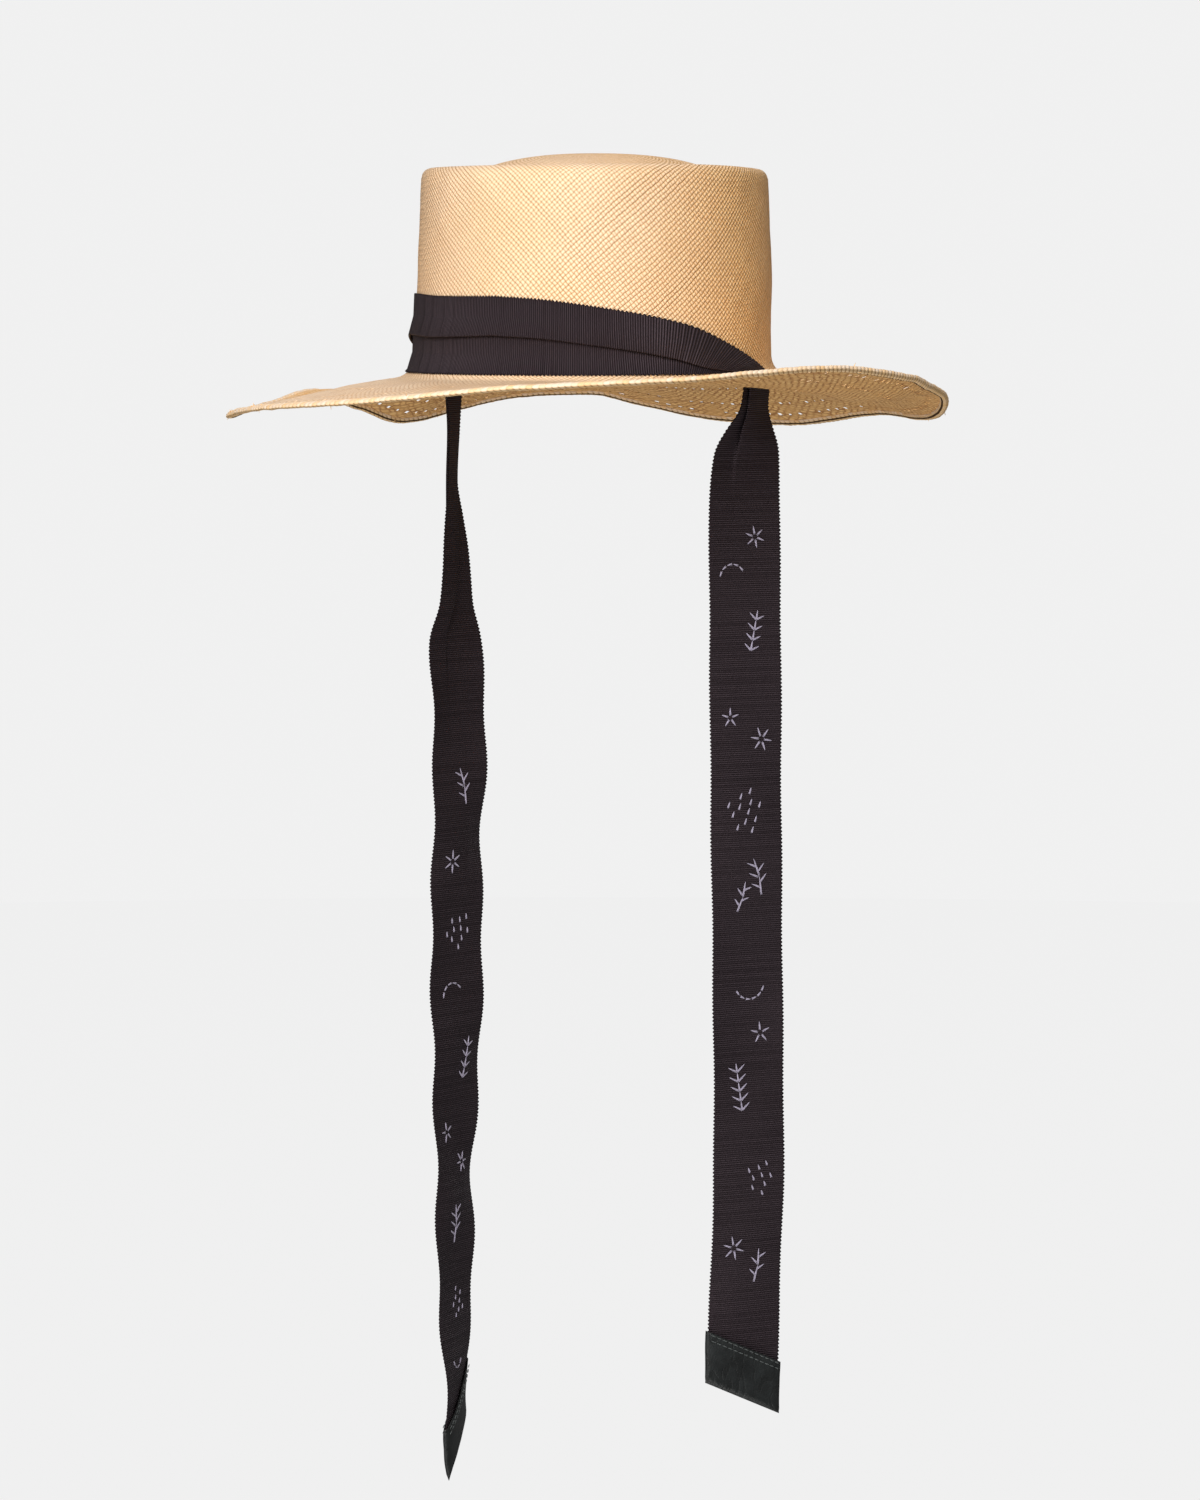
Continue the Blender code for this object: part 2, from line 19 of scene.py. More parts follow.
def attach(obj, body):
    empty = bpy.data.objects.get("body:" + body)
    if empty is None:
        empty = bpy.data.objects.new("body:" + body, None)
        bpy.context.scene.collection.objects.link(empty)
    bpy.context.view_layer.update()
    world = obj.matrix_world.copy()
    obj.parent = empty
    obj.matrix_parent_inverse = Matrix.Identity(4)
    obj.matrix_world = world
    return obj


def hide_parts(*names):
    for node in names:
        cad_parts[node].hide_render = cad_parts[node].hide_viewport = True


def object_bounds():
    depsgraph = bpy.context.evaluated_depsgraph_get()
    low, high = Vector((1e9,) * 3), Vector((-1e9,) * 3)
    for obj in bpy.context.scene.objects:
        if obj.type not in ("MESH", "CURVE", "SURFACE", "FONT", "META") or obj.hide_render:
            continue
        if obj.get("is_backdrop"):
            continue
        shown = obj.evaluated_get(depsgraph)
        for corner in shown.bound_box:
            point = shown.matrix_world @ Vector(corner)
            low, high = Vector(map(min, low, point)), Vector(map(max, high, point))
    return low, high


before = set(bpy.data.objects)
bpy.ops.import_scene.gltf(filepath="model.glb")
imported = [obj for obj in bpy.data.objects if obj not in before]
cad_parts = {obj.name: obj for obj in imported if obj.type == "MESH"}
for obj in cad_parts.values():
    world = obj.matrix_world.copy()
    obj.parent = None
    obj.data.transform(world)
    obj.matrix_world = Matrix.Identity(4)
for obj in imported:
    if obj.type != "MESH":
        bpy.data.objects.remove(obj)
CAD_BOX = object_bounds()

bl_info = {
    "name": "Straw Hat with Ribbon Ties",
    "version": (1, 0, 0),
    "blender": (4, 5, 0),
    "location": "View3D > Sidebar > Straw Hat",
    "description": "Weaves a waved straw hat and dresses it with a tucked ribbon and leather tips",
    "category": "Add Mesh",
}

# Straw body
CROWN_LENGTH = 0.203
CROWN_BREADTH = 0.172
CROWN_HEIGHT = 0.1027
CROWN_TAPER = 0.0043
RIM_RADIUS = 0.005
GROOVE_WIDTH = 0.026
GROOVE_DEPTH = 0.0045
DOME_RISE = 0.0068
DOME_POWER = 2.4
DOME_FOOT_POWER = 8
RIM_SWELL = 0.0015
SWELL_AZIMUTH = 65
BASE_FILLET = 0.009
BRIM_WIDTH = 0.090
STRAW = 0.0016
LIP_WIDTH = 0.0045
LIP_PROUD = 0.0006
BASE_RADIUS = (CROWN_LENGTH + CROWN_BREADTH) / 4

# At the right rear the rim is worn down, and the crown's foot is drawn in.
WORN_AZIMUTH = 116
WORN_DROP = 0.0030
WORN_SPAN = 34
WORN_FROM = 0.8
WAIST_DEPTH = 0.0019
WAIST_SPAN = 26
WAIST_FADE = (0.012, 0.055)
WAIST_REACH = 0.02

# Radii between which the flat tip gives way to the crown's side
SIDE_FADE = (0.06, 0.08)

# The unevenness of the hand-woven wall, as noises of a fineness and a height each. The brim has all
# of it from a reach past the crown, and the crown's side a share of it from a height above its foot.
UNEVENNESS = ((55, 0.0005), (160, 0.00022))
UNEVEN_REACH = 0.02
UNEVEN_FOOT = 0.01
UNEVEN_SIDE = 0.6

# Ribbon
RIBBON_WIDTH = 0.040
LAYER_PITCH = 0.0009
CLEARANCE = 0.0004
BAND_LIFT = 0.0025
CAD_RIBBON = 0.001
HALF_SLIT_DEGREES = 12
RIGHT_TIE_LENGTH = 0.506
LEFT_TIE_LENGTH = 0.548
FOLD_LENGTH = LAYER_PITCH * math.sqrt(2)
RIGHT_SLIT_AZIMUTH = 88.5
LEFT_SLIT_AZIMUTH = 98.5
SLIT_PLAY = 0.001
SLIT_WIDTH = 0.0044
SLIT_OPEN = 0.0033
HELD_DROP = STRAW + 0.05 * BRIM_WIDTH
TIP_LENGTH = 0.026
FLARE_FLAT = 0.0003

# The groove between the dome and the rim, from the dome's foot to the rim's crest.
GrooveRow = namedtuple("GrooveRow", "way depth")
GROOVE_ROWS = (
    GrooveRow(0.0, 0.2),
    GrooveRow(0.2, 0.8),
    GrooveRow(0.45, 1.0),
    GrooveRow(0.75, 0.6),
    GrooveRow(1.0, 0.0),
)

# The brim's edge, going round from the front. Azimuths are in degrees, with 90 at the right.
# Lift is how far the edge stands above the crown's base, and belly how far the middle of the brim
# does so on its own account, both as shares of the brim's width. Reach is the width there, as a
# share of the same.
BrimWave = namedtuple("BrimWave", "azimuth lift belly reach")
BRIM_WAVES = (
    BrimWave(-150, -0.149, 0.00, 1.00),
    BrimWave(-135, -0.180, 0.01, 1.00),
    BrimWave(-117, -0.305, 0.03, 1.01),
    BrimWave(-107, -0.215, 0.02, 1.02),
    BrimWave(-96, -0.115, -0.03, 1.03),
    BrimWave(-84, -0.170, -0.02, 1.03),
    BrimWave(-60, -0.215, 0.00, 1.03),
    BrimWave(-30, -0.140, 0.00, 1.01),
    BrimWave(-6, -0.085, 0.00, 1.00),
    BrimWave(17, -0.005, -0.01, 1.00),
    BrimWave(41, 0.037, -0.03, 1.00),
    BrimWave(67, 0.089, -0.06, 0.99),
    BrimWave(90, 0.027, -0.10, 0.98),
    BrimWave(104, -0.050, -0.11, 0.96),
    BrimWave(119, -0.125, -0.02, 0.955),
    BrimWave(133, -0.225, 0.02, 0.97),
    BrimWave(145, -0.262, 0.03, 0.99),
    BrimWave(157, -0.245, 0.01, 1.00),
    BrimWave(175, -0.320, 0.02, 1.00),
    BrimWave(191, -0.290, 0.00, 1.00),
    BrimWave(201, -0.215, 0.00, 1.00),
)
BRIM_CURVE = 1.25

# The weave gains strands in steps as it widens. Reach is the radius at which a zone ends, and
# strands how many run each way round it, a multiple of the strands that share their shades.
Zone = namedtuple("Zone", "reach strands")
SHADES = 52
OPENWORK_SHARES = (0.48, 0.73, 0.88)
ZONES = (
    Zone(0.034, SHADES),
    Zone(0.057, 2 * SHADES),
    Zone(0.080, 3 * SHADES),
    Zone(BASE_RADIUS + BASE_FILLET, 4 * SHADES),
    Zone(BASE_RADIUS + OPENWORK_SHARES[0] * BRIM_WIDTH, 5 * SHADES),
    Zone(BASE_RADIUS + OPENWORK_SHARES[1] * BRIM_WIDTH, 6 * SHADES),
    Zone(BASE_RADIUS + OPENWORK_SHARES[2] * BRIM_WIDTH, 7 * SHADES),
    Zone(BASE_RADIUS + 2 * BRIM_WIDTH, 8 * SHADES),
)

# The ribbon is tucked lengthwise: it runs up from its lower edge, turns back down for the length of
# the tuck, and turns up again as a flap that ends at its upper edge. Tuck and flap are shares of the
# ribbon's width, and turn is how far it turns back, in degrees, 180 where the tuck lies flat. Stand
# is how far the fold stands off what is behind it, as a share of the ribbon's width.
# Along the band a row's place is its share of the way from the front to the slit, and tilt leans
# the ribbon's upper edge towards the slit, in degrees.
BandRow = namedtuple("BandRow", "way tuck flap turn stand tilt")
RIGHT_BAND = (
    BandRow(0.00, 0.006, 0.46, 140, 0.01, 0),
    BandRow(0.20, 0.016, 0.46, 172, 0.01, 0),
    BandRow(0.39, 0.052, 0.46, 180, 0.01, 0),
    BandRow(0.57, 0.101, 0.45, 180, 0.01, 2),
    BandRow(0.70, 0.151, 0.44, 180, 0.01, 16),
    BandRow(0.79, 0.180, 0.45, 180, 0.01, 42),
    BandRow(0.87, 0.182, 0.46, 180, 0.00, 64),
    BandRow(0.94, 0.182, 0.46, 180, 0.00, 80),
    BandRow(1.00, 0.182, 0.46, 180, 0.00, 90),
)
LEFT_BAND = (
    BandRow(0.00, 0.006, 0.46, 140, 0.01, 0),
    BandRow(0.30, 0.012, 0.48, 140, 0.01, 0),
    BandRow(0.62, 0.006, 0.48, 140, 0.00, 0),
    BandRow(0.74, 0.060, 0.47, 170, 0.01, 6),
    BandRow(0.83, 0.150, 0.44, 180, 0.01, 32),
    BandRow(0.90, 0.220, 0.40, 180, 0.00, 58),
    BandRow(0.95, 0.255, 0.37, 180, 0.00, 78),
    BandRow(1.00, 0.262, 0.36, 180, 0.00, 90),
)

# Shares of the way to the slit between which the flap comes free and the ribbon leaves the crown,
# and shares of the ribbon's width over which the fold's stand and the flap's press ease off.
FLAP_FREES = (0.6, 0.9)
RIBBON_LEAVES = (0.8, 0.95)
STAND_REACH = 0.45
PRESS_REACH = 0.2

# Down a tie a row's place is its share of the tie's length below the slit. Out and back move the
# middle of the ribbon from below the slit, away from the head and to the rear, and cup bows it
# outwards in the middle, all as shares of the ribbon's width. Swing turns its face to the front.
TieRow = namedtuple("TieRow", "way tuck flap turn out back swing cup")
RIGHT_TIE = (
    TieRow(0.00, 0.182, 0.46, 180, 0.00, 0.00, 0, 0.00),
    TieRow(0.02, 0.125, 0.515, 180, -0.03, -0.01, -1, 0.00),
    TieRow(0.04, 0.060, 0.58, 150, -0.09, 0.00, 10, -0.01),
    TieRow(0.065, 0.010, 0.625, 60, -0.15, 0.03, 23, -0.02),
    TieRow(0.11, 0.005, 0.63, 0, -0.18, 0.04, 30, -0.02),
    TieRow(0.25, 0.005, 0.63, 0, -0.17, 0.05, 32, -0.01),
    TieRow(0.42, 0.005, 0.63, 0, -0.16, 0.06, 31, 0.02),
    TieRow(0.60, 0.005, 0.63, 0, -0.14, 0.08, 30, -0.02),
    TieRow(0.78, 0.005, 0.63, 0, -0.12, 0.07, 31, 0.01),
    TieRow(0.90, 0.005, 0.63, 0, -0.15, 0.02, 31, 0.03),
    TieRow(1.00, 0.005, 0.63, 0, -0.17, 0.00, 32, 0.02),
)
LEFT_TIE = (
    TieRow(0.00, 0.262, 0.36, 180, 0.00, 0.00, 0, 0.00),
    TieRow(0.04, 0.262, 0.36, 180, 0.00, 0.01, 12, 0.00),
    TieRow(0.088, 0.262, 0.36, 180, 0.02, 0.00, 15, 0.00),
    TieRow(0.125, 0.220, 0.40, 180, 0.00, 0.01, 6, 0.00),
    TieRow(0.163, 0.165, 0.457, 180, -0.02, 0.02, 2, 0.00),
    TieRow(0.20, 0.090, 0.53, 150, -0.04, 0.00, -2, 0.02),
    TieRow(0.24, 0.005, 0.61, 40, -0.06, -0.06, -3, 0.04),
    TieRow(0.34, 0.005, 0.61, 0, -0.12, -0.06, -4, 0.05),
    TieRow(0.43, 0.005, 0.61, 0, -0.07, -0.06, 0, -0.05),
    TieRow(0.54, 0.005, 0.61, 0, -0.08, -0.08, -3, 0.04),
    TieRow(0.62, 0.005, 0.61, 0, -0.07, -0.08, 1, -0.05),
    TieRow(0.70, 0.005, 0.61, 0, -0.05, -0.08, 7, 0.04),
    TieRow(0.76, 0.005, 0.61, 0, -0.03, -0.08, 12, -0.06),
    TieRow(0.83, 0.005, 0.61, 0, -0.05, -0.08, 10, 0.04),
    TieRow(0.91, 0.005, 0.61, 0, -0.05, -0.09, 20, -0.03),
    TieRow(1.00, 0.005, 0.61, 0, -0.05, -0.08, 26, -0.02),
)

# Side is 1 at the right and -1 at the left, and slit is how far round from the front the slit is.
# Slant is how much lower the end of the ribbon's upper edge hangs than the end of its lower edge,
# and ruffle the waves of its edges, both as shares of the ribbon's width. Waves counts the ruffles
# down the tie. Shown is the face that has the embroidery, 1 for the one away from the head.
Tie = namedtuple("Tie", "side slit length band rows slant ruffle waves shown")
TIES = (
    Tie(-1, LEFT_SLIT_AZIMUTH, LEFT_TIE_LENGTH, LEFT_BAND, LEFT_TIE, -0.70, 0.030, 9.5, -1),
    Tie(1, RIGHT_SLIT_AZIMUTH, RIGHT_TIE_LENGTH, RIGHT_BAND, RIGHT_TIE, 0.45, 0.012, 6.5, 1),
)
TIE_NAMES = {-1: "left", 1: "right"}

# Each edge's ruffles are out of step with the middle by the lag, in radians, and are full at a share
# of the tie. The slant grows between two heights above the tie's end, counted in tip lengths.
RUFFLE_LAG = 1.2
RUFFLE_FULL = 0.25
SLANT_STARTS = 4.0
SLANT_FULL = 1.2

# Where each family of strands leans more than the other, going round the crown. The pace of the slow
# waver is in strands down the weave for each radian.
LEAN = 0.009
LEAN_TURNS = 3
LEAN_AZIMUTH = math.radians(48)
LEAN_FADE = 0.03
WAVER_PACE = 25

# The weave under the brim is coarser.
UNDER_STRANDS = 4 * SHADES
UNDER_PACE = 0.6

# Openwork, in rings of small holes that the weave leaves where it widens
HOLE_LENGTH = 0.0040
HOLE_BORDER = 0.00025
HOLE_PACE = 2
HOLE_CHANCE = 0.8
HOLE_SIZES = (0.7, 1.05)

# Plaited edge. A dark groove and a darker rim are painted as shadow along its underside, placed in quarter
# turns round the plait's section from its outermost line. A few straw ends stand out of it.
PLAIT_KNOTS = 390
PLAIT_SLANT = 0.7
KNOT_FULLNESS = 0.6
KNOT_VARIETY = (40, 0.6)
PLAIT_GROOVE = 2.66
PLAIT_RIM = 3.5
STRAW_ENDS = 45
END_LENGTHS = (0.0009, 0.0022)
END_RADII = (0.00022, 0.00008)
END_SIDES = 5
END_OUTWARDS = (-0.2, 1.0)
END_UPWARDS = (0.1, 0.7)
END_SEAT = 0.6

# Leather tips and their stitches. The sleeve's mouth laps inwards, its section is a rounded oblong,
# and its face is dented by a noise of a fineness and a height.
LEATHER = 0.001
MOUTH_LAP = 0.004
LAP_THINNING = 0.7
MOUTH_THINNING = 0.3
FOOT_THINNING = 0.8
MOUTH_END = 0.1
FOOT_START = 0.9
ROUNDING_ACROSS = 0.55
ROUNDING_OUT = 0.5
DENTS = (120, 0.0003)
STITCH_PITCH = 0.003
STITCH_LENGTH = 0.0021
STITCH_ROWS = (0.0012, 0.0040)
STITCH_MARGIN = 0.0015
STITCH_SIDES = (8, 6)
TIP_THREAD = 0.6
TIP_THREAD_COLOR = (0.05, 0.06, 0.06)

# Fineness of the meshes. The outline's steps are along its dome, groove, rim, side and fillet.
TURN_STEPS = 360
OUTLINE_STEPS = (10, 6, 4, 10, 3)
BRIM_STEP = 0.0032
PLAIT_SIDES = 14
KNOT_STEPS = 7
ROW_STEP = 0.00046
FOLD_STEPS = (1, 2, 3, 2, 3, 2, 1)
SELVAGE = 0.0009
LEAST_TUCK = 0.004
MEETING = 0.003
MERGED = 1e-6
TIP_SIDES = 28
TIP_STEPS = 20

# Camera, aimed at (across, height), and the floor
CAMERA_AZIMUTH = 28.7
CAMERA_DISTANCE = 3.1
CAMERA_HEIGHT = 0.08
CAMERA_AIM = (0.00225, -0.1868)
CAMERA_LENS = 149.7
FLOOR_DROP = 0.70
FLOOR_RADIUS = 4.0


def ease(value, start, end):
    """A smooth rise from 0 at start to 1 at end."""
    share = min(max((value - start) / (end - start), 0.0), 1.0)
    return share * share * (3 - 2 * share)


def read_rows(rows, place):
    """Each column of the rows at a place between them, on a smooth curve through the rows."""
    place = min(max(place, rows[0][0]), rows[-1][0])
    index = max(i for i, row in enumerate(rows[:-1]) if row[0] <= place)
    before = rows[max(index - 1, 0)]
    start = rows[index]
    end = rows[index + 1]
    after = rows[min(index + 2, len(rows) - 1)]
    span = end[0] - start[0]
    t = (place - start[0]) / span
    values = []
    for column in range(1, len(start)):
        leaving = (end[column] - before[column]) / (end[0] - before[0])
        arriving = (after[column] - start[column]) / (after[0] - start[0])
        values.append(
            (1 + 2 * t) * (1 - t) ** 2 * start[column]
            + t * (1 - t) ** 2 * span * leaving
            + t * t * (3 - 2 * t) * end[column]
            + t * t * (t - 1) * span * arriving
        )
    return type(start)(place, *values)


@lru_cache(maxsize=None)
def read_brim(azimuth):
    """The brim's row at any azimuth: the rows close on themselves after a full turn."""
    first, last = BRIM_WAVES[0], BRIM_WAVES[-1]
    rows = (
        last._replace(azimuth=last.azimuth - 360),
        *BRIM_WAVES,
        first._replace(azimuth=first.azimuth + 360),
        BRIM_WAVES[1]._replace(azimuth=BRIM_WAVES[1].azimuth + 360),
    )
    start = first.azimuth
    return read_rows(rows, (azimuth - start) % 360 + start)


def oval_normal(azimuth):
    angle = math.radians(azimuth)
    return Vector((math.sin(angle) / CROWN_BREADTH, -math.cos(angle) / CROWN_LENGTH, 0)).normalized()


def on_oval(azimuth, radius):
    """Where a round shape's point goes on the head's oval: scaled inside the crown, offset outside."""
    angle = math.radians(azimuth)
    base = Vector((CROWN_BREADTH / 2 * math.sin(angle), -CROWN_LENGTH / 2 * math.cos(angle), 0))
    if radius <= BASE_RADIUS:
        return base * (radius / BASE_RADIUS)
    return base + oval_normal(azimuth) * (radius - BASE_RADIUS)


def degrees_along(azimuth, length):
    """The azimuth that a length takes up along the crown's base."""
    angle = math.radians(azimuth)
    pace = math.hypot(CROWN_BREADTH / 2 * math.cos(angle), CROWN_LENGTH / 2 * math.sin(angle))
    return math.degrees(length / pace)


def flare(height):
    """How far the fillet at the crown's base stands out from the crown's side."""
    if height >= BASE_FILLET:
        return 0.0
    rise = BASE_FILLET - max(height, 0.0)
    return BASE_FILLET - math.sqrt(BASE_FILLET**2 - rise**2) + FLARE_FLAT


def on_head(azimuth, radius, height):
    """Eases a point of the turned hat to the oval, the brim's waves, the rim's swell and the wear."""
    row = read_brim(round(azimuth, 3))
    out = max(radius - BASE_RADIUS, 0.0)
    share = out / BRIM_WIDTH
    wave = row.lift * share**BRIM_CURVE + row.belly * math.sin(math.pi * min(share, 1.0))
    place = on_oval(azimuth, radius + out * (row.reach - 1))
    on_tip = ease(height, 0.0, CROWN_HEIGHT) * min(radius / BASE_RADIUS, 1.0) ** 2
    swell = RIM_SWELL * on_tip * math.cos(math.radians(azimuth - SWELL_AZIMUTH))
    around = (azimuth - WORN_AZIMUTH + 180) % 360 - 180
    on_rim = ease(height, WORN_FROM * CROWN_HEIGHT, CROWN_HEIGHT) * min(radius / BASE_RADIUS, 1.0) ** 6
    worn = WORN_DROP * on_rim * math.exp(-((around / WORN_SPAN) ** 2))
    place.z = height + wave * BRIM_WIDTH + swell - worn
    at_foot = (1 - ease(height, *WAIST_FADE)) * (1 - ease(out, 0.0, WAIST_REACH)) * ease(radius, *SIDE_FADE)
    place -= oval_normal(azimuth) * (WAIST_DEPTH * at_foot * math.exp(-((around / WAIST_SPAN) ** 2)))
    return place


class Wire:
    """A socket whose arithmetic adds Math nodes to its material."""

    def __init__(self, finish, socket):
        self.finish = finish
        self.socket = socket

    def math(self, operation, *values):
        inputs = dict(enumerate((self, *values)))
        return self.finish.node("ShaderNodeMath", {"operation": operation}, inputs)

    def turned(self, operation, value):
        return self.finish.node("ShaderNodeMath", {"operation": operation}, {0: value, 1: self})

    def __add__(self, other):
        return self.math("ADD", other)

    __radd__ = __add__

    def __mul__(self, other):
        return self.math("MULTIPLY", other)

    __rmul__ = __mul__

    def __sub__(self, other):
        return self.math("SUBTRACT", other)

    def __rsub__(self, other):
        return self.turned("SUBTRACT", other)

    def __truediv__(self, other):
        return self.math("DIVIDE", other)

    def __pow__(self, other):
        return self.math("POWER", other)

    def __abs__(self):
        return self.math("ABSOLUTE")

    def floor(self):
        return self.math("FLOOR")

    def fraction(self):
        return self.math("FRACT")

    def sine(self):
        return self.math("SINE")

    def wrapped(self, count):
        return self.math("FLOORED_MODULO", count)

    def rise(self, low, high):
        """A smooth step from 0 at low to 1 at high."""
        inputs = {"Value": self, "From Min": low, "From Max": high}
        return self.finish.node("ShaderNodeMapRange", {"interpolation_type": "SMOOTHSTEP"}, inputs)


class Finish:
    """A material whose nodes are added one call at a time."""

    def __init__(self, name):
        self.material = bpy.data.materials.new(name)
        self.material.use_nodes = True
        self.tree = self.material.node_tree
        self.shader = self.tree.nodes["Principled BSDF"]

    def node(self, kind, settings=None, inputs=None, output=0):
        made = self.tree.nodes.new(kind)
        for name, value in (settings or {}).items():
            setattr(made, name, value)
        for key, value in (inputs or {}).items():
            if isinstance(value, Wire):
                self.tree.links.new(value.socket, made.inputs[key])
            else:
                made.inputs[key].default_value = value
        return Wire(self, made.outputs[output])

    def split(self, vector):
        """The three numbers of a vector."""
        x = self.node("ShaderNodeSeparateXYZ", None, {0: vector})
        outputs = x.socket.node.outputs
        return x, Wire(self, outputs[1]), Wire(self, outputs[2])

    def join(self, x, y, z=0.0):
        return self.node("ShaderNodeCombineXYZ", None, {0: x, 1: y, 2: z})

    def mix(self, factor, first, second):
        """A colour between two colours."""
        return self.node("ShaderNodeMix", {"data_type": "RGBA"}, {0: factor, 6: first, 7: second}, 2)

    def number(self, factor, first, second):
        return self.node("ShaderNodeMix", {"data_type": "FLOAT"}, {0: factor, 2: first, 3: second})

    def uv(self, name):
        return self.node("ShaderNodeUVMap", {"uv_map": name})

    def place(self):
        return self.node("ShaderNodeTexCoord", None, None, "Object")

    def cloud(self, vector, scale, detail=2.0):
        inputs = {"Vector": vector, "Scale": scale, "Detail": detail}
        return self.node("ShaderNodeTexNoise", None, inputs)

    def chance(self, x, y):
        """A number from 0 to 1 for each pair of whole numbers."""
        return self.node("ShaderNodeTexWhiteNoise", {"noise_dimensions": "2D"}, {"Vector": self.join(x, y)})

    def groove(self, count, seed):
        """1 along a few of the lines between strands, where the weave has drawn apart. The relief sinks
        there, and the darker colour that follows is painted shade.
        """
        loose = self.chance((count + 0.5).floor().wrapped(SHADES), seed).rise(0.7, 0.9)
        return loose * (1.0 - (0.5 - abs(count.fraction() - 0.5)).rise(0.0, 0.22))

    def bump(self, height, distance):
        inputs = {"Height": height, "Distance": distance, "Strength": 1.0}
        return self.node("ShaderNodeBump", None, inputs)

    def dress(self, constants=None, **links):
        """Sets the shader's sockets: constants by name, and links as color, roughness and normal."""
        for name, value in (constants or {}).items():
            self.shader.inputs[name].default_value = value
        sockets = {"color": "Base Color", "roughness": "Roughness", "normal": "Normal"}
        for key, wire in links.items():
            self.tree.links.new(wire.socket, self.shader.inputs[sockets[key]])
        return self.material


def rgba(color, gain=1.0):
    return (*(channel * gain for channel in color), 1.0)


def straw_finish(look):
    """Strands that cross on the bias, each with its own shade, fibres and rounded back."""
    made = Finish("woven_straw")
    u, v, _ = made.split(made.uv("strands"))
    place = made.place()
    x, y, _ = made.split(place)
    _, _, facing_up = made.split(made.node("ShaderNodeNewGeometry", None, None, "Normal"))
    out = made.split(made.uv("rings"))[0] - 1.0
    below = (0.0 - facing_up).rise(0.3, 0.8)
    flat = facing_up.rise(0.6, 0.95) * out.rise(0.0, 0.01)
    wander = (made.cloud(place, 35.0) - 0.5) * (0.7 + 0.8 * below)
    shiver = (made.cloud(place, 260.0, 1.0) - 0.5) * (0.35 + 0.55 * below)
    u = u + wander + shiver
    v = v - wander + shiver
    across_u = (u.fraction() * math.pi).sine()
    across_v = (v.fraction() * math.pi).sine()
    # The strands of one family lie longer on top at the left, and those of the other at the right.
    right = x.rise(0.0, 0.075)
    crossing = (u * math.pi).sine() * (v * math.pi).sine() - (0.08 - 0.16 * right)
    over = crossing.rise(-0.12, 0.12)
    relief = made.number(over, across_v ** 0.6, across_u ** 0.6)
    # Painted shade: the grooves take the gap colour through the sunken relief, one family at the right and
    # the other at the left, as the light from the left shades them.
    grooves = made.groove(u, 11.0) * right + made.groove(v, 13.0) * (1.0 - right)
    loose = 0.0
    for share in OPENWORK_SHARES:
        loose = loose + (1.0 - abs(out - share * BRIM_WIDTH).rise(0.0, 0.6 * HOLE_LENGTH))
    height = relief * (0.5 + 0.45 * abs(crossing) ** 0.5) - grooves * 0.2 - loose * 0.25
    shade_u = made.chance(u.floor().wrapped(SHADES), 3.0)
    shade_v = made.chance(v.floor().wrapped(SHADES), 7.0)
    shade = made.number(over, shade_v, shade_u)
    pick = made.chance(u.floor().wrapped(SHADES), v.floor().wrapped(SHADES))
    fibre_u = made.cloud(made.join(u * 9.0, v * 0.7), 1.0, 1.0)
    fibre_v = made.cloud(made.join(u * 0.7, v * 9.0), 1.0, 1.0)
    fibre = made.number(over, fibre_v, fibre_u)
    tone = shade * 0.4 + pick * 0.6 + fibre * 0.4
    color = made.mix(tone.rise(0.25, 1.15), rgba(look.straw_warm), rgba(look.straw_color))
    # Painted light: the front of the straw, but not its undersides, is made paler where the key light falls
    # on it, and the brim's flat top a little paler too.
    painted_front_light = (0.0 - y).rise(-0.01, 0.085) * (1.0 - below)
    color = made.mix(0.03 + painted_front_light * 0.42 + flat * 0.06, color, rgba(look.pale_straw_and_painted_light))
    # Painted shade: faces turned down take the darker colour of straw in shade.
    color = made.mix(below * 0.6, color, rgba(look.straw_painted_shade))
    patches = made.cloud(place, 22.0, 3.0).rise(0.3, 0.7)
    color = made.mix(patches * 0.22, color, rgba(look.straw_warm))
    # Painted highlight: the tops of the strands are made paler, except on the undersides.
    crest = height.rise(0.55, 0.95) * (1.0 - below)
    color = made.mix(crest * 0.3, color, rgba(look.pale_straw_and_painted_light))
    # Painted shade: low places in the relief, between strands, take the shaded gap colour.
    gap = (1.0 - (height - below * 0.2).rise(0.12, 0.72)) * (1.0 - flat * 0.55)
    # Painted shade: underneath, deeper gaps and random dark dashes stand in for the shading of the relief,
    # partly the weave's own pattern.
    dashes = 1.0 - below * (0.75 - 1.1 * pick)
    color = made.mix(gap * dashes * (0.72 + below * 0.28), color, rgba(look.straw_gap))
    color = made.mix(below * (1.0 - pick) ** 2.0 * 0.4, color, rgba(look.straw_gap))
    raised = height * (1.0 - flat * 0.5) * (0.7 + 0.3 * right)
    normal = made.bump(raised + fibre * 0.1 + shade * 0.1, look.strand_relief)
    rough = 0.44 + 0.16 * fibre + 0.25 * gap
    return made.dress({"Specular IOR Level": 0.5}, color=color, roughness=rough, normal=normal)


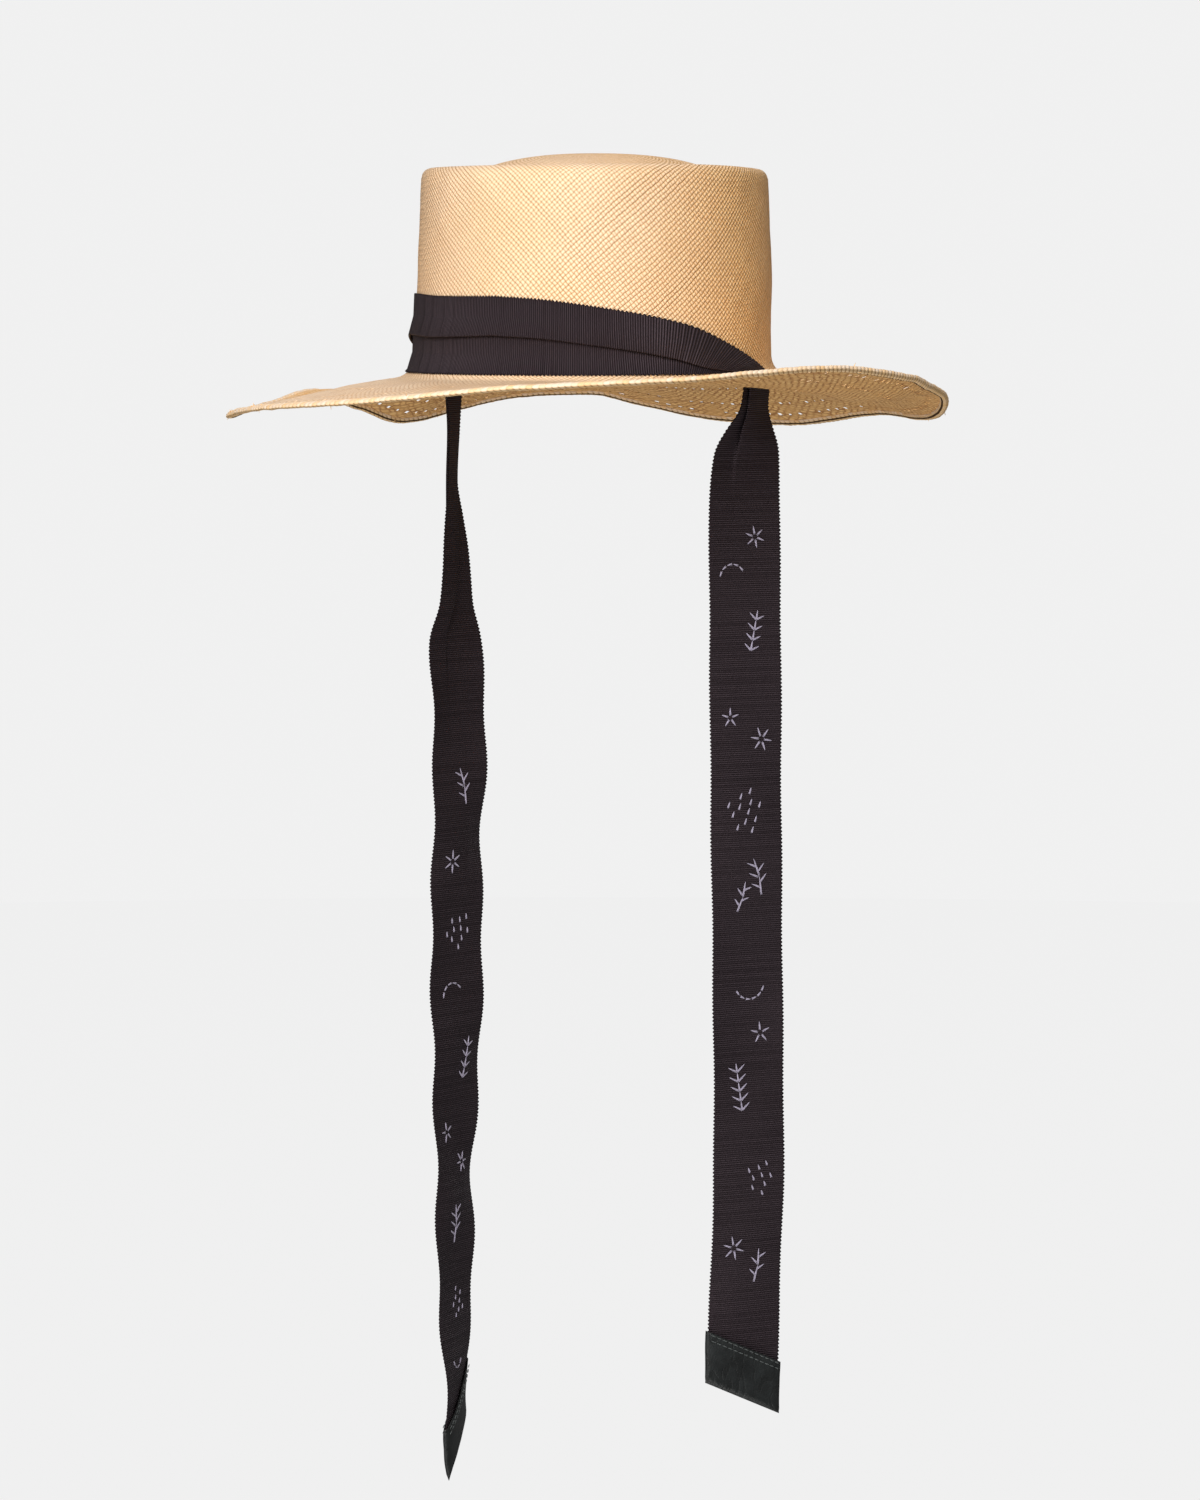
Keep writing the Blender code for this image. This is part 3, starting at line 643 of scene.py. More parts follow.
def plait_finish(look):
    """The knots of the edge, with dark gaps between them and a dark groove where they turn under, both
    darkened as painted shade.
    """
    made = Finish("plaited_straw")
    knot, round_edge, _ = made.split(made.uv("knots"))
    _, _, facing_up = made.split(made.node("ShaderNodeNewGeometry", None, None, "Normal"))
    ridge = (knot.fraction() * math.pi).sine()
    shade = made.chance(knot.floor().wrapped(PLAIT_KNOTS), 5.0)
    fibre = made.cloud(made.join(knot * 8.0, round_edge * 5.0), 1.0, 2.0)
    tone = (shade * 0.4 + fibre * 0.8).rise(0.0, 1.1)
    color = made.mix(tone, rgba(look.straw_color, 0.88), rgba(look.pale_straw_and_painted_light, 0.84))
    # Painted shade: faces turned down take the darker colour of straw in shade.
    below = (0.0 - facing_up).rise(0.0, 0.7)
    color = made.mix(below * 0.6, color, rgba(look.straw_painted_shade))
    # Painted shade: the gaps between knots are darkened, far more on the underside.
    gap = 1.0 - ridge.rise(0.1, 0.7)
    color = made.mix(gap * (0.12 + below * 0.63), color, rgba(look.straw_gap, 0.7))
    # Painted shadow: a dark line along the groove, which also sinks in the relief, and a weaker one along
    # the rim, both on the underside only.
    groove = below * (1.0 - abs(round_edge - PLAIT_GROOVE).rise(0.1, 0.22))
    rim = below * (1.0 - abs(round_edge - PLAIT_RIM).rise(0.1, 0.4))
    color = made.mix(groove + rim * 0.4, color, rgba(look.straw_gap, 0.12))
    normal = made.bump(ridge * 0.5 + fibre * 0.6 - groove, look.strand_relief * 0.5)
    return made.dress({"Specular IOR Level": 0.12}, color=color, roughness=0.7 + 0.2 * fibre, normal=normal)


def ribbon_finish(look):
    """Ribs across the ribbon, with a firm edge on each side, painted highlights on their crests and painted
    shade between them.
    """
    made = Finish("ribbed_ribbon")
    across, along, _ = made.split(made.uv("ribs"))
    place = made.place()
    ribs = along / look.rib_pitch
    rib = 0.5 + 0.5 * (ribs * math.tau).sine()
    weight = made.chance((ribs + 0.25).floor(), 2.0)
    warp = made.cloud(made.join(across * 3800.0, along * 500.0), 1.0, 1.0)
    edge = 1.0 - (0.5 - abs(across / RIBBON_WIDTH - 0.5)).rise(0.0, 0.03)
    # Painted highlight and shade: rib crests lighter and hollows darker, varied at random by rib and warp
    # thread, and weaker near the edges.
    crest = rib ** 2.0 * (0.3 + 0.6 * warp + 0.7 * weight) * (1.0 - 0.6 * edge)
    color = made.mix(crest.rise(0.1, 1.0), rgba(look.ribbon_color, 0.15), rgba(look.ribbon_color, 3.2))
    bloom = made.cloud(place, 30.0, 3.0).rise(0.35, 0.75)
    color = made.mix(bloom * 0.2, color, rgba(look.ribbon_color, 1.6))
    normal = made.bump(rib * (0.7 + 0.5 * weight) + warp * 0.4, 0.00042)
    rough = 0.6 - 0.1 * rib + 0.1 * warp
    constants = {"Specular IOR Level": 0.34, "Specular Tint": rgba(look.ribbon_shine)}
    return made.dress(constants, color=color, roughness=rough, normal=normal)


def leather_finish(look):
    """Fine grained leather with faint creases in painted shade and a painted soft shine, of lighter colour,
    on its high spots.
    """
    made = Finish("soft_leather")
    place = made.place()
    grain = made.node("ShaderNodeTexVoronoi", {"feature": "SMOOTH_F1"}, {"Vector": place, "Scale": 1400.0})
    folds = made.cloud(made.node("ShaderNodeMapping", None, {0: place, 3: (90.0, 90.0, 45.0)}), 1.0, 4.0)
    crease = 1.0 - abs(folds - 0.5).rise(0.0, 0.04)
    cloudy = made.cloud(place, 120.0, 3.0)
    # Lighter patches that follow the high spots of the bump: partly mottled tone, partly a painted sheen.
    color = made.mix(cloudy.rise(0.35, 0.75), rgba(look.leather_color), rgba(look.leather_color, 2.4))
    # Painted shade: the creases are darkened as well as sunk in the relief.
    color = made.mix(crease * 0.35, color, rgba(look.leather_color, 0.4))
    normal = made.bump(grain * 0.6 - crease * 0.8 + cloudy, 0.0002)
    rough = 0.36 + 0.25 * cloudy
    return made.dress({"Specular IOR Level": 0.4}, color=color, roughness=rough, normal=normal)


def thread_finish(name, color):
    """Twisted thread, with strands that show as fine bright and dark streaks."""
    made = Finish(name)
    place = made.place()
    twist = made.cloud(place, 2600.0, 2.0)
    shade = made.mix(twist.rise(0.3, 0.7), rgba(color, 0.55), rgba(color, 1.3))
    constants = {"Specular IOR Level": 0.4, "Sheen Weight": 0.3}
    return made.dress(constants, color=shade, roughness=0.5 + 0.3 * twist, normal=made.bump(twist, 0.0001))


def finished(name, mesh, material, slot, *nodes):
    """A smooth piece that rides on the hat and stands for the named nodes of the frame."""
    data = bpy.data.meshes.new(name)
    mesh.to_mesh(data)
    mesh.free()
    data.materials.append(material)
    data.shade_smooth()
    piece = bpy.data.objects.new(name, data)
    bpy.context.scene.collection.objects.link(piece)
    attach(piece, "root")
    if nodes:
        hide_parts(*nodes)
    return piece


def steps(first, last, count):
    """Evenly spaced values from first up to, but not including, last."""
    return [first + (last - first) * step / count for step in range(count)]


def brim_stops():
    """Distances from the crown's base of the brim's rings, with a narrow step at each openwork ring."""
    stops = [BASE_FILLET]
    for share in OPENWORK_SHARES:
        start = share * BRIM_WIDTH - HOLE_LENGTH / 2
        count = round((start - stops[-1]) / BRIM_STEP)
        stops = [*stops[:-1], *steps(stops[-1], start, count), start, start + HOLE_LENGTH]
    end = BRIM_WIDTH - LIP_WIDTH / 2
    count = round((end - stops[-1]) / BRIM_STEP)
    return [*stops[:-1], *steps(stops[-1], end, count), end]


def side_radius(height):
    """The radius of the crown's tapered side at a height above its base."""
    return BASE_RADIUS - CROWN_TAPER * height / CROWN_HEIGHT


def hat_outline(inset, fineness):
    """(radius, height) from the middle of the tip, over the rim, down the side and along the brim."""
    rim_radius = BASE_RADIUS - CROWN_TAPER
    crest = rim_radius - RIM_RADIUS
    dome_radius = crest - GROOVE_WIDTH
    on_dome, in_groove, on_rim, on_side, in_fillet = (count * fineness for count in OUTLINE_STEPS)
    points = []
    for way in steps(0.0, 1.0, on_dome):
        foot = GROOVE_ROWS[0].depth * GROOVE_DEPTH * way**DOME_FOOT_POWER
        points.append((dome_radius * way, CROWN_HEIGHT + DOME_RISE * (1 - way**DOME_POWER) - foot - inset))
    for way in steps(0.0, 1.0, in_groove):
        depth = GROOVE_DEPTH * read_rows(GROOVE_ROWS, way).depth
        points.append((dome_radius + GROOVE_WIDTH * way, CROWN_HEIGHT - depth - inset))
    for turn in steps(math.pi / 2, 0.0, on_rim):
        reach = RIM_RADIUS - inset
        points.append((crest + reach * math.cos(turn), CROWN_HEIGHT - RIM_RADIUS + reach * math.sin(turn)))
    for height in steps(CROWN_HEIGHT - RIM_RADIUS, BASE_FILLET, on_side):
        points.append((side_radius(height) - inset, height))
    for turn in steps(math.pi, 3 * math.pi / 2, in_fillet):
        reach = BASE_FILLET + inset
        height = BASE_FILLET + reach * math.sin(turn)
        points.append((side_radius(height) + BASE_FILLET + reach * math.cos(turn), height))
    return points + [(BASE_RADIUS + out, -inset) for out in brim_stops()]


def pierce_openwork(mesh, chances):
    """Opens the rings of small holes through both faces of the brim, at the same places in each."""
    found = {}
    for face in mesh.faces:
        if abs(face.normal.z) < 0.9:
            continue
        middle = face.calc_center_median()
        out = math.hypot(middle.x, middle.y) - BASE_RADIUS
        for ring, share in enumerate(OPENWORK_SHARES):
            if abs(out - share * BRIM_WIDTH) < HOLE_LENGTH / 4:
                turn = math.atan2(middle.x, -middle.y) / math.tau * TURN_STEPS
                found.setdefault((ring, round(turn - 0.5)), []).append(face)
    pairs = []
    for key in sorted(found):
        ring, turn = key
        if (turn + ring) % HOLE_PACE == 0 and chances.random() < HOLE_CHANCE and len(found[key]) == 2:
            pairs.append(found[key])
    faces = [face for pair in pairs for face in pair]
    bmesh.ops.inset_individual(mesh, faces=faces, thickness=HOLE_BORDER, use_even_offset=True)
    for pair in pairs:
        size = chances.uniform(*HOLE_SIZES)
        for face in pair:
            middle = face.calc_center_median()
            for vert in face.verts:
                vert.co = middle + (vert.co - middle) * size
    loops = [[*pair[0].edges, *pair[1].edges] for pair in pairs]
    bmesh.ops.delete(mesh, geom=faces, context="FACES_ONLY")
    for edges in loops:
        bmesh.ops.bridge_loops(mesh, edges=edges)


def lay_strands(mesh, pitch):
    """Gives each corner its place in the weave, counted in strands along both diagonals."""
    layer = mesh.loops.layers.uv.new("strands")
    rings = mesh.loops.layers.uv.new("rings")
    for face in mesh.faces:
        middle = face.calc_center_median()
        heading = math.atan2(middle.x, -middle.y)
        reach = math.hypot(middle.x, middle.y)
        strands = next(zone.strands for zone in ZONES if reach <= zone.reach)
        coarse = 1.0
        if face.normal.z < -0.5 and reach > BASE_RADIUS + BASE_FILLET:
            strands = UNDER_STRANDS
            coarse = UNDER_PACE
        for loop in face.loops:
            x, y, z = loop.vert.co
            radius = math.hypot(x, y)
            turn = math.atan2(x, -y) if radius > MERGED else heading
            turn += round((heading - turn) / math.tau) * math.tau
            down = (radius + CROWN_HEIGHT - z) / (math.sqrt(2) * pitch) * coarse
            on_crown = 1 - ease(radius, BASE_RADIUS, BASE_RADIUS + LEAN_FADE)
            lean = -LEAN * on_crown * strands * math.sin(LEAN_TURNS * (turn - LEAN_AZIMUTH))
            lean += math.sin(2 * turn + down / WAVER_PACE)
            round_hat = strands * turn / math.tau
            loop[layer].uv = (down + round_hat + lean, down - round_hat + lean)
            loop[rings].uv = (radius - BASE_RADIUS + 1.0, turn)


def uneven(azimuth, radius, height):
    """The small unevenness of a hand-woven wall, in metres, the same on both of its faces."""
    angle = math.radians(azimuth)
    spot = Vector((math.sin(angle) * radius, math.cos(angle) * radius, height))
    return sum(noise.noise(spot * fineness) * size for fineness, size in UNEVENNESS)


def ease_to_head(mesh):
    for vert in mesh.verts:
        x, y, z = vert.co
        radius = math.hypot(x, y)
        azimuth = math.degrees(math.atan2(x, -y))
        place = on_head(azimuth, radius, z)
        bumpy = uneven(azimuth, radius, max(z, 0.0))
        on_brim = ease(radius, BASE_RADIUS, BASE_RADIUS + UNEVEN_REACH)
        on_side = ease(radius, *SIDE_FADE) * ease(z, 0.0, UNEVEN_FOOT) * (1 - on_brim)
        place += oval_normal(azimuth) * bumpy * UNEVEN_SIDE * on_side
        place.z += bumpy * on_brim
        vert.co = place


def tucked_centre(row, stand=0.0, pressed=0.0):
    """The middle of the ribbon across its width, as (across, out) points, and the middle of those."""
    turn = math.radians(max(row.turn, 0.0))
    tuck = max(row.tuck, LEAST_TUCK) * RIBBON_WIDTH
    flap = row.flap * RIBBON_WIDTH
    lower = RIBBON_WIDTH - tuck - flap - 2 * FOLD_LENGTH
    edge = SELVAGE
    heading = 0.0
    point = Vector((0.0, 0.0))
    centre = [point.copy()]
    stretches = (
        (edge, 0.0),
        (lower - edge, 0.0),
        (FOLD_LENGTH, turn),
        (tuck, 0.0),
        (FOLD_LENGTH, -turn),
        (flap - edge, 0.0),
        (edge, 0.0),
    )
    for (length, turning), count in zip(stretches, FOLD_STEPS):
        for _ in range(count):
            heading += turning / count / 2
            point = point + Vector((math.cos(heading), math.sin(heading))) * (length / count)
            heading += turning / count / 2
            centre.append(point.copy())
    top = sum(FOLD_STEPS[:3])
    bottom = sum(FOLD_STEPS[:5])
    tuck_top = centre[top].x
    fold = centre[bottom].x
    for index, point in enumerate(centre):
        if index > top:
            away = abs(point.x - fold)
            point.y += stand * RIBBON_WIDTH * (1 - ease(away, 0.0, STAND_REACH * RIBBON_WIDTH))
        if index > bottom:
            past = point.x - tuck_top
            point.y *= 1 - pressed * ease(past, 0.0, PRESS_REACH * RIBBON_WIDTH)
    across = [point.x for point in centre]
    out = [point.y for point in centre]
    return centre, Vector(((min(across) + max(across)) / 2, (min(out) + max(out)) / 2))


def slit_offset():
    """From the crown's outer base to the middle of the slit."""
    return flare(BAND_LIFT) + SLIT_WIDTH / 2


def band_points(tie, row):
    """The ribbon's cross row on the crown, at the band row's share of the way to the slit."""
    pressed = 1 - ease(row.way, *FLAP_FREES)
    at_slit = ease(row.way, *RIBBON_LEAVES)
    centre, middle = tucked_centre(row, row.stand, pressed)
    half_slit = degrees_along(tie.slit, middle.x)
    start = (tie.slit - half_slit) * row.way
    tilt = math.radians(row.tilt)
    points = []
    for across, out in centre:
        azimuth = start + degrees_along(start, across * math.sin(tilt))
        rise = BAND_LIFT + across * math.cos(tilt)
        base = side_radius(max(rise, 0.0))
        seat = max(flare(max(rise, BAND_LIFT)), at_slit * flare(BAND_LIFT))
        azimuth *= tie.side
        lift = seat + CLEARANCE + CAD_RIBBON / 2 + out
        place = on_oval(azimuth, base) + oval_normal(azimuth) * lift
        place.z = rise
        points.append(place)
    return points


def tie_row(tie, drop):
    """The tie's row at a drop below the crown's base: the slit holds the first stretch."""
    return read_rows(tie.rows, (drop - HELD_DROP) / (tie.length - HELD_DROP))


def tie_point(tie, drop, across, out):
    """A point of a tie: drop below the crown's base, across the ribbon and out from its middle."""
    row = tie_row(tie, drop)
    azimuth = tie.side * tie.slit
    normal = oval_normal(azimuth)
    start = on_oval(azimuth, BASE_RADIUS + slit_offset())
    start.x += tie.side * row.out * RIBBON_WIDTH
    start.y += row.back * RIBBON_WIDTH
    face = Matrix.Rotation(math.radians(-tie.side * row.swing), 3, "Z") @ normal
    along = Vector((-face.y, face.x, 0)) * tie.side
    share = across / RIBBON_WIDTH
    hanging = ease(drop / tie.length, 0.0, RUFFLE_FULL)
    phase = math.copysign(RUFFLE_LAG, share)
    wave = math.sin(math.tau * tie.waves * drop / tie.length + phase)
    bow = row.cup * (1 - 4 * share**2) + tie.ruffle * hanging * 4 * share**2 * wave
    place = start + along * across + face * (out + bow * RIBBON_WIDTH)
    place.z = -drop
    return place


def slanted_drop(tie, drop, across):
    """Slants the ribbon's crosswise lines more and more, down to the cut of its end."""
    to_end = (tie.length - drop) / TIP_LENGTH
    return drop + tie.slant * across * (1 - ease(to_end, SLANT_FULL, SLANT_STARTS))


def tie_points(tie, drop):
    """The tie's cross row and how far down the ribbon each of its points lies."""
    centre, middle = tucked_centre(tie_row(tie, drop))
    points = []
    drops = []
    for across, out in centre:
        across -= middle.x
        down = slanted_drop(tie, drop, across)
        points.append(tie_point(tie, down, across, out - middle.y))
        drops.append(down)
    return points, drops


def ribbon_rows(tie):
    """(points, along) for each cross row from the front of the band to the end of the tie."""
    band_length = (tie.slit - HALF_SLIT_DEGREES) / 360 * math.pi * (CROWN_LENGTH + CROWN_BREADTH) / 2
    rows = []
    count = round(band_length / ROW_STEP)
    for step in range(count + 1):
        way = step / count
        points = band_points(tie, read_rows(tie.band, way))
        rows.append((points, [band_length * way] * len(points)))
    last = rows.pop()[0]
    end = tie.length - LEATHER - CLEARANCE
    count = round(end / ROW_STEP)
    for step in range(count + 1):
        points, drops = tie_points(tie, end * step / count)
        # The band's last row and the tie's first meet inside the slit.
        if step * ROW_STEP < MEETING:
            share = ease(step * ROW_STEP, 0.0, MEETING)
            lower = Vector((0, 0, -end * step / count))
            points = [(a + lower).lerp(b, share) for a, b in zip(last, points)]
        rows.append((points, [band_length + drop for drop in drops]))
    return rows


def measured_across(points):
    """How far across the ribbon each point of a row lies."""
    across = [0.0]
    for point, following in zip(points, points[1:]):
        across.append(across[-1] + (following - point).length)
    return [place * RIBBON_WIDTH / across[-1] for place in across]


def weave_ribbon(look):
    """The whole ribbon as one sheet, from the end of the left tie to the end of the right one."""
    left, right = (ribbon_rows(tie) for tie in TIES)
    rows = [(points, [-y for y in along]) for points, along in reversed(left)] + right[1:]
    columns = sum(FOLD_STEPS)
    mesh = bmesh.new()
    layer = mesh.loops.layers.uv.new("ribs")
    bmesh.ops.create_grid(mesh, x_segments=columns, y_segments=len(rows) - 1, size=1.0)
    across = [measured_across(points) for points, _ in rows]
    place = {}
    for vert in mesh.verts:
        column = round((vert.co.x + 1) / 2 * columns)
        row = round((vert.co.y + 1) / 2 * (len(rows) - 1))
        place[vert] = column, row
    for face in mesh.faces:
        for loop in face.loops:
            column, row = place[loop.vert]
            loop[layer].uv = (across[row][column], rows[row][1][column] + 1.0)
    for vert, (column, row) in place.items():
        points, along = rows[row]
        spot = points[column].copy()
        if column in (0, columns):
            inner = points[1] if column == 0 else points[columns - 1]
            tooth = 0.5 + 0.5 * math.cos(math.tau * along[column] / look.scallop_pitch)
            spot += (spot - inner).normalized() * look.scallop_depth * (tooth - 0.5)
        vert.co = spot
    length = rows[-1][1][columns // 2] - rows[0][1][columns // 2]
    return mesh, length


def thread_stitch(mesh, start, end, lift, thickness):
    """One stitch: a plump bar between two points, raised off the cloth in its middle."""
    way = end - start
    middle = (start + end) / 2 + lift * thickness * 0.35
    side = way.cross(lift).normalized()
    up = side.cross(way).normalized()
    turned = Matrix((way.normalized(), side, up)).transposed().to_4x4()
    size = Matrix.Diagonal((way.length / 2 + thickness * 0.3, thickness / 2, thickness / 2, 1))
    matrix = Matrix.Translation(middle) @ turned @ size @ Matrix.Rotation(math.pi / 2, 4, "Y")
    round_it, along_it = STITCH_SIDES
    bmesh.ops.create_uvsphere(mesh, u_segments=round_it, v_segments=along_it, radius=1.0, matrix=matrix)


def on_tie(tie, across, drop, proud, shown):
    """A point on the face of a tie, and the way out from that face."""
    spot = tie_point(tie, drop, across, 0.0)
    beside = tie_point(tie, drop, across + 0.001, 0.0)
    below = tie_point(tie, drop + 0.001, across, 0.0)
    out = (beside - spot).cross(below - spot).normalized()
    front = tie_point(tie, drop, across, 0.001) - spot
    if out.dot(front) < 0:
        out = -out
    return spot + out * proud * shown, out * shown


def star(size, rays):
    for ray in range(rays):
        turn = math.tau * ray / rays
        away = Vector((math.sin(turn), math.cos(turn)))
        yield away * size * 0.12, away * size * 0.5


def sprig(size, leaves):
    yield Vector((0, 0)), Vector((0.06, 0.5)) * size
    yield Vector((0.06, 0.5)) * size, Vector((0, 1)) * size
    for leaf in range(leaves):
        foot = Vector((0.03, 0.2 + 0.7 * leaf / leaves)) * size
        side = 1 if leaf % 2 else -1
        yield foot, foot + Vector((side * 0.24, 0.17)) * size


def fern(size, leaves):
    for leaf in range(leaves):
        foot = Vector((0, leaf / leaves)) * size
        yield foot, foot + Vector((0, 1 / leaves)) * size * 0.9
        for side in (-1, 1):
            yield foot, foot + Vector((side * 0.2, 0.13)) * size


def grains(size, count):
    for grain in range(count):
        turn = grain * 2.4
        spot = Vector((math.cos(turn), math.sin(turn))) * size * 0.5 * math.sqrt((grain + 0.5) / count)
        yield spot, spot + Vector((0.05, 0.14)) * size


def crescent(size, count):
    for step in range(count):
        turns = (math.pi * (0.1 + 0.8 * (step + half) / count) for half in (0.0, 0.75))
        yield tuple(Vector((math.cos(turn), math.sin(turn))) * size / 2 for turn in turns)


MOTIF_SIZE = 1.2

# Where each tie has its motifs: down the tie and across it as shares of its length and of half the
# ribbon's width, size in metres, turn in degrees, and the parts that the motif is made of.
Motif = namedtuple("Motif", "shape down across size turn parts")
MOTIFS = {
    1: (
        Motif(star, 0.155, 0.30, 0.009, 10, 6),
        Motif(crescent, 0.195, -0.35, 0.012, 15, 5),
        Motif(fern, 0.265, 0.15, 0.017, -12, 4),
        Motif(star, 0.330, -0.45, 0.008, 0, 5),
        Motif(star, 0.352, 0.42, 0.010, 20, 6),
        Motif(grains, 0.425, -0.10, 0.018, 0, 12),
        Motif(sprig, 0.505, 0.40, 0.016, 14, 5),
        Motif(sprig, 0.520, -0.30, 0.013, -18, 4),
        Motif(crescent, 0.590, 0.05, 0.014, 190, 6),
        Motif(star, 0.640, 0.35, 0.009, 5, 5),
        Motif(fern, 0.715, -0.20, 0.020, 8, 5),
        Motif(grains, 0.785, 0.30, 0.014, 40, 9),
        Motif(star, 0.850, -0.40, 0.010, 12, 6),
        Motif(sprig, 0.885, 0.20, 0.014, -8, 4),
    ),
    -1: (
        Motif(sprig, 0.400, 0.25, 0.016, 12, 5),
        Motif(star, 0.452, -0.30, 0.010, 0, 6),
        Motif(grains, 0.520, 0.10, 0.016, 30, 10),
        Motif(crescent, 0.580, -0.15, 0.013, 20, 5),
        Motif(fern, 0.655, 0.20, 0.018, -10, 4),
        Motif(star, 0.705, -0.35, 0.009, 15, 5),
        Motif(star, 0.735, 0.30, 0.009, 35, 6),
        Motif(sprig, 0.810, -0.05, 0.017, 6, 6),
        Motif(grains, 0.868, 0.15, 0.013, 0, 8),
        Motif(crescent, 0.915, -0.10, 0.011, 185, 4),
    ),
}


def size_property(name, description, default, least, most):
    return FloatProperty(
        name=name,
        description=description,
        default=default,
        min=least,
        max=most,
        unit="LENGTH",
    )


def color_property(name, description, default):
    return FloatVectorProperty(
        name=name,
        description=description,
        default=default,
        min=0.0,
        max=1.0,
        subtype="COLOR",
    )


class StrawHatLook(bpy.types.PropertyGroup):
    """Sizes and colours of the hat's finish."""

    wall: size_property("Straw wall", "Thickness of the woven straw", 0.0006, 0.0005, STRAW)
    strand_pitch: size_property(
        "Strand pitch", "Distance from one straw strand to the next", 0.00195, 0.001, 0.006
    )
    strand_relief: size_property(
        "Strand relief", "How far a strand stands up where it passes over another", 0.0005, 0.0, 0.002
    )
    plait_relief: size_property(
        "Plait relief", "How far the knots of the brim's edge stand up", 0.00022, 0.0, 0.002
    )
    ribbon_thickness: size_property(
        "Ribbon thickness", "Thickness of the ribbed ribbon", 0.0005, 0.0003, CAD_RIBBON
    )
    rib_pitch: size_property(
        "Rib pitch", "Distance from one rib of the ribbon to the next", 0.00103, 0.0005, 0.004
    )
    scallop_pitch: size_property(
        "Scallop pitch",
        "Distance from one scallop of the ribbon's edges to the next",
        0.00184,
        0.0008,
        0.01,
    )
    scallop_depth: size_property(
        "Scallop depth", "How deep the scallops of the ribbon's edges are", 0.0009, 0.0, 0.003
    )
    thread: size_property("Thread", "Thickness of the embroidery thread", 0.0008, 0.0002, 0.002)
    straw_color: color_property("Straw", "Colour of the fairer strands", (0.97, 0.57, 0.20))
    straw_warm: color_property("Warm straw", "Colour of the darkest strands", (0.84, 0.43, 0.105))
    # Pale straw: the paler knots of the plait, and the painted light on the straw's front, the brim's top
    # and the tops of the strands.
    pale_straw_and_painted_light: color_property(
        "Pale straw and painted light", "Colour of the plait's paler knots, and of the light painted on the straw's front and strand tops", (1.0, 0.86, 0.73)
    )
    # Painted shade: the colour of straw in shade, put on the undersides of the brim and the plait.
    straw_painted_shade: color_property(
        "Straw below", "Colour of the painted shade on the straw's undersides", (0.66, 0.43, 0.18)
    )
    straw_gap: color_property(
        "Between strands", "Colour of the shaded gaps between strands", (0.36, 0.16, 0.045)
    )
    ribbon_color: color_property("Ribbon", "Colour of the ribbon", (0.0145, 0.0112, 0.0134))
    ribbon_shine: color_property(
        "Ribbon shine", "Tint of the light that the ribs reflect", (1.0, 0.74, 0.86)
    )
    leather_color: color_property("Leather", "Colour of the leather tips", (0.0042, 0.0052, 0.0054))
    thread_color: color_property("Thread colour", "Colour of the embroidery thread", (0.30, 0.27, 0.36))
    floor_color: color_property("Floor", "Colour of the studio floor", (0.875, 0.875, 0.875))


class STRAWHAT_OT_body(bpy.types.Operator):
    """Weave the crown and the brim as one wall, with openwork rings and a slit on each side"""

    bl_idname = "straw_hat.body"
    bl_label = "Weave Straw Body"

    def execute(self, context):
        look = context.scene.straw_hat
        mesh = bmesh.new()
        path = [*hat_outline(0.0, 2), *reversed(hat_outline(look.wall, 1))]
        verts = [mesh.verts.new((0.0, -radius, height)) for radius, height in path]
        edges = [mesh.edges.new(pair) for pair in zip(verts, verts[1:])]
        bmesh.ops.spin(
            mesh,
            geom=verts + edges,
            cent=(0, 0, 0),
            axis=(0, 0, 1),
            angle=math.tau,
            steps=TURN_STEPS,
            use_merge=True,
        )
        bmesh.ops.remove_doubles(mesh, verts=mesh.verts, dist=MERGED)
        bmesh.ops.recalc_face_normals(mesh, faces=mesh.faces)
        pierce_openwork(mesh, random.Random(11))
        lay_strands(mesh, look.strand_pitch)
        ease_to_head(mesh)
        piece = finished("straw_body", mesh, straw_finish(look), "straw", "hat_body")
        cut_slits(piece)
        return {"FINISHED"}


def slit_cutter(tie):
    """A thin block that stands through the brim where the ribbon passes."""
    azimuth = tie.side * tie.slit
    normal = oval_normal(azimuth)
    along = Vector((0, 0, 1)).cross(normal)
    middle = on_oval(azimuth, BASE_RADIUS + slit_offset())
    length = 2 * max(tucked_centre(tie.band[-1])[1].x for tie in TIES) + 2 * SLIT_PLAY
    turned = Matrix((normal, along, Vector((0, 0, 1)))).transposed().to_4x4()
    size = Matrix.Diagonal((SLIT_OPEN, length, 4 * HELD_DROP, 1))
    mesh = bmesh.new()
    bmesh.ops.create_cube(mesh, size=1.0, matrix=Matrix.Translation(middle) @ turned @ size)
    data = bpy.data.meshes.new("slit_cutter")
    mesh.to_mesh(data)
    mesh.free()
    cutter = bpy.data.objects.new("slit_cutter", data)
    bpy.context.scene.collection.objects.link(cutter)
    return cutter


def cut_slits(piece):
    """Cuts the two slits, and keeps the cut mesh as the piece's own."""
    cutters = [slit_cutter(tie) for tie in TIES]
    for cutter in cutters:
        cut = piece.modifiers.new("slit", "BOOLEAN")
        cut.operation = "DIFFERENCE"
        cut.solver = "EXACT"
        cut.object = cutter
    graph = bpy.context.evaluated_depsgraph_get()
    cut_mesh = bpy.data.meshes.new_from_object(piece.evaluated_get(graph))
    piece.modifiers.clear()
    piece.data = cut_mesh
    for cutter in cutters:
        bpy.data.objects.remove(cutter)
    if len(cut_mesh.vertices) < TURN_STEPS:
        raise RuntimeError("the slits left nothing of the straw body")


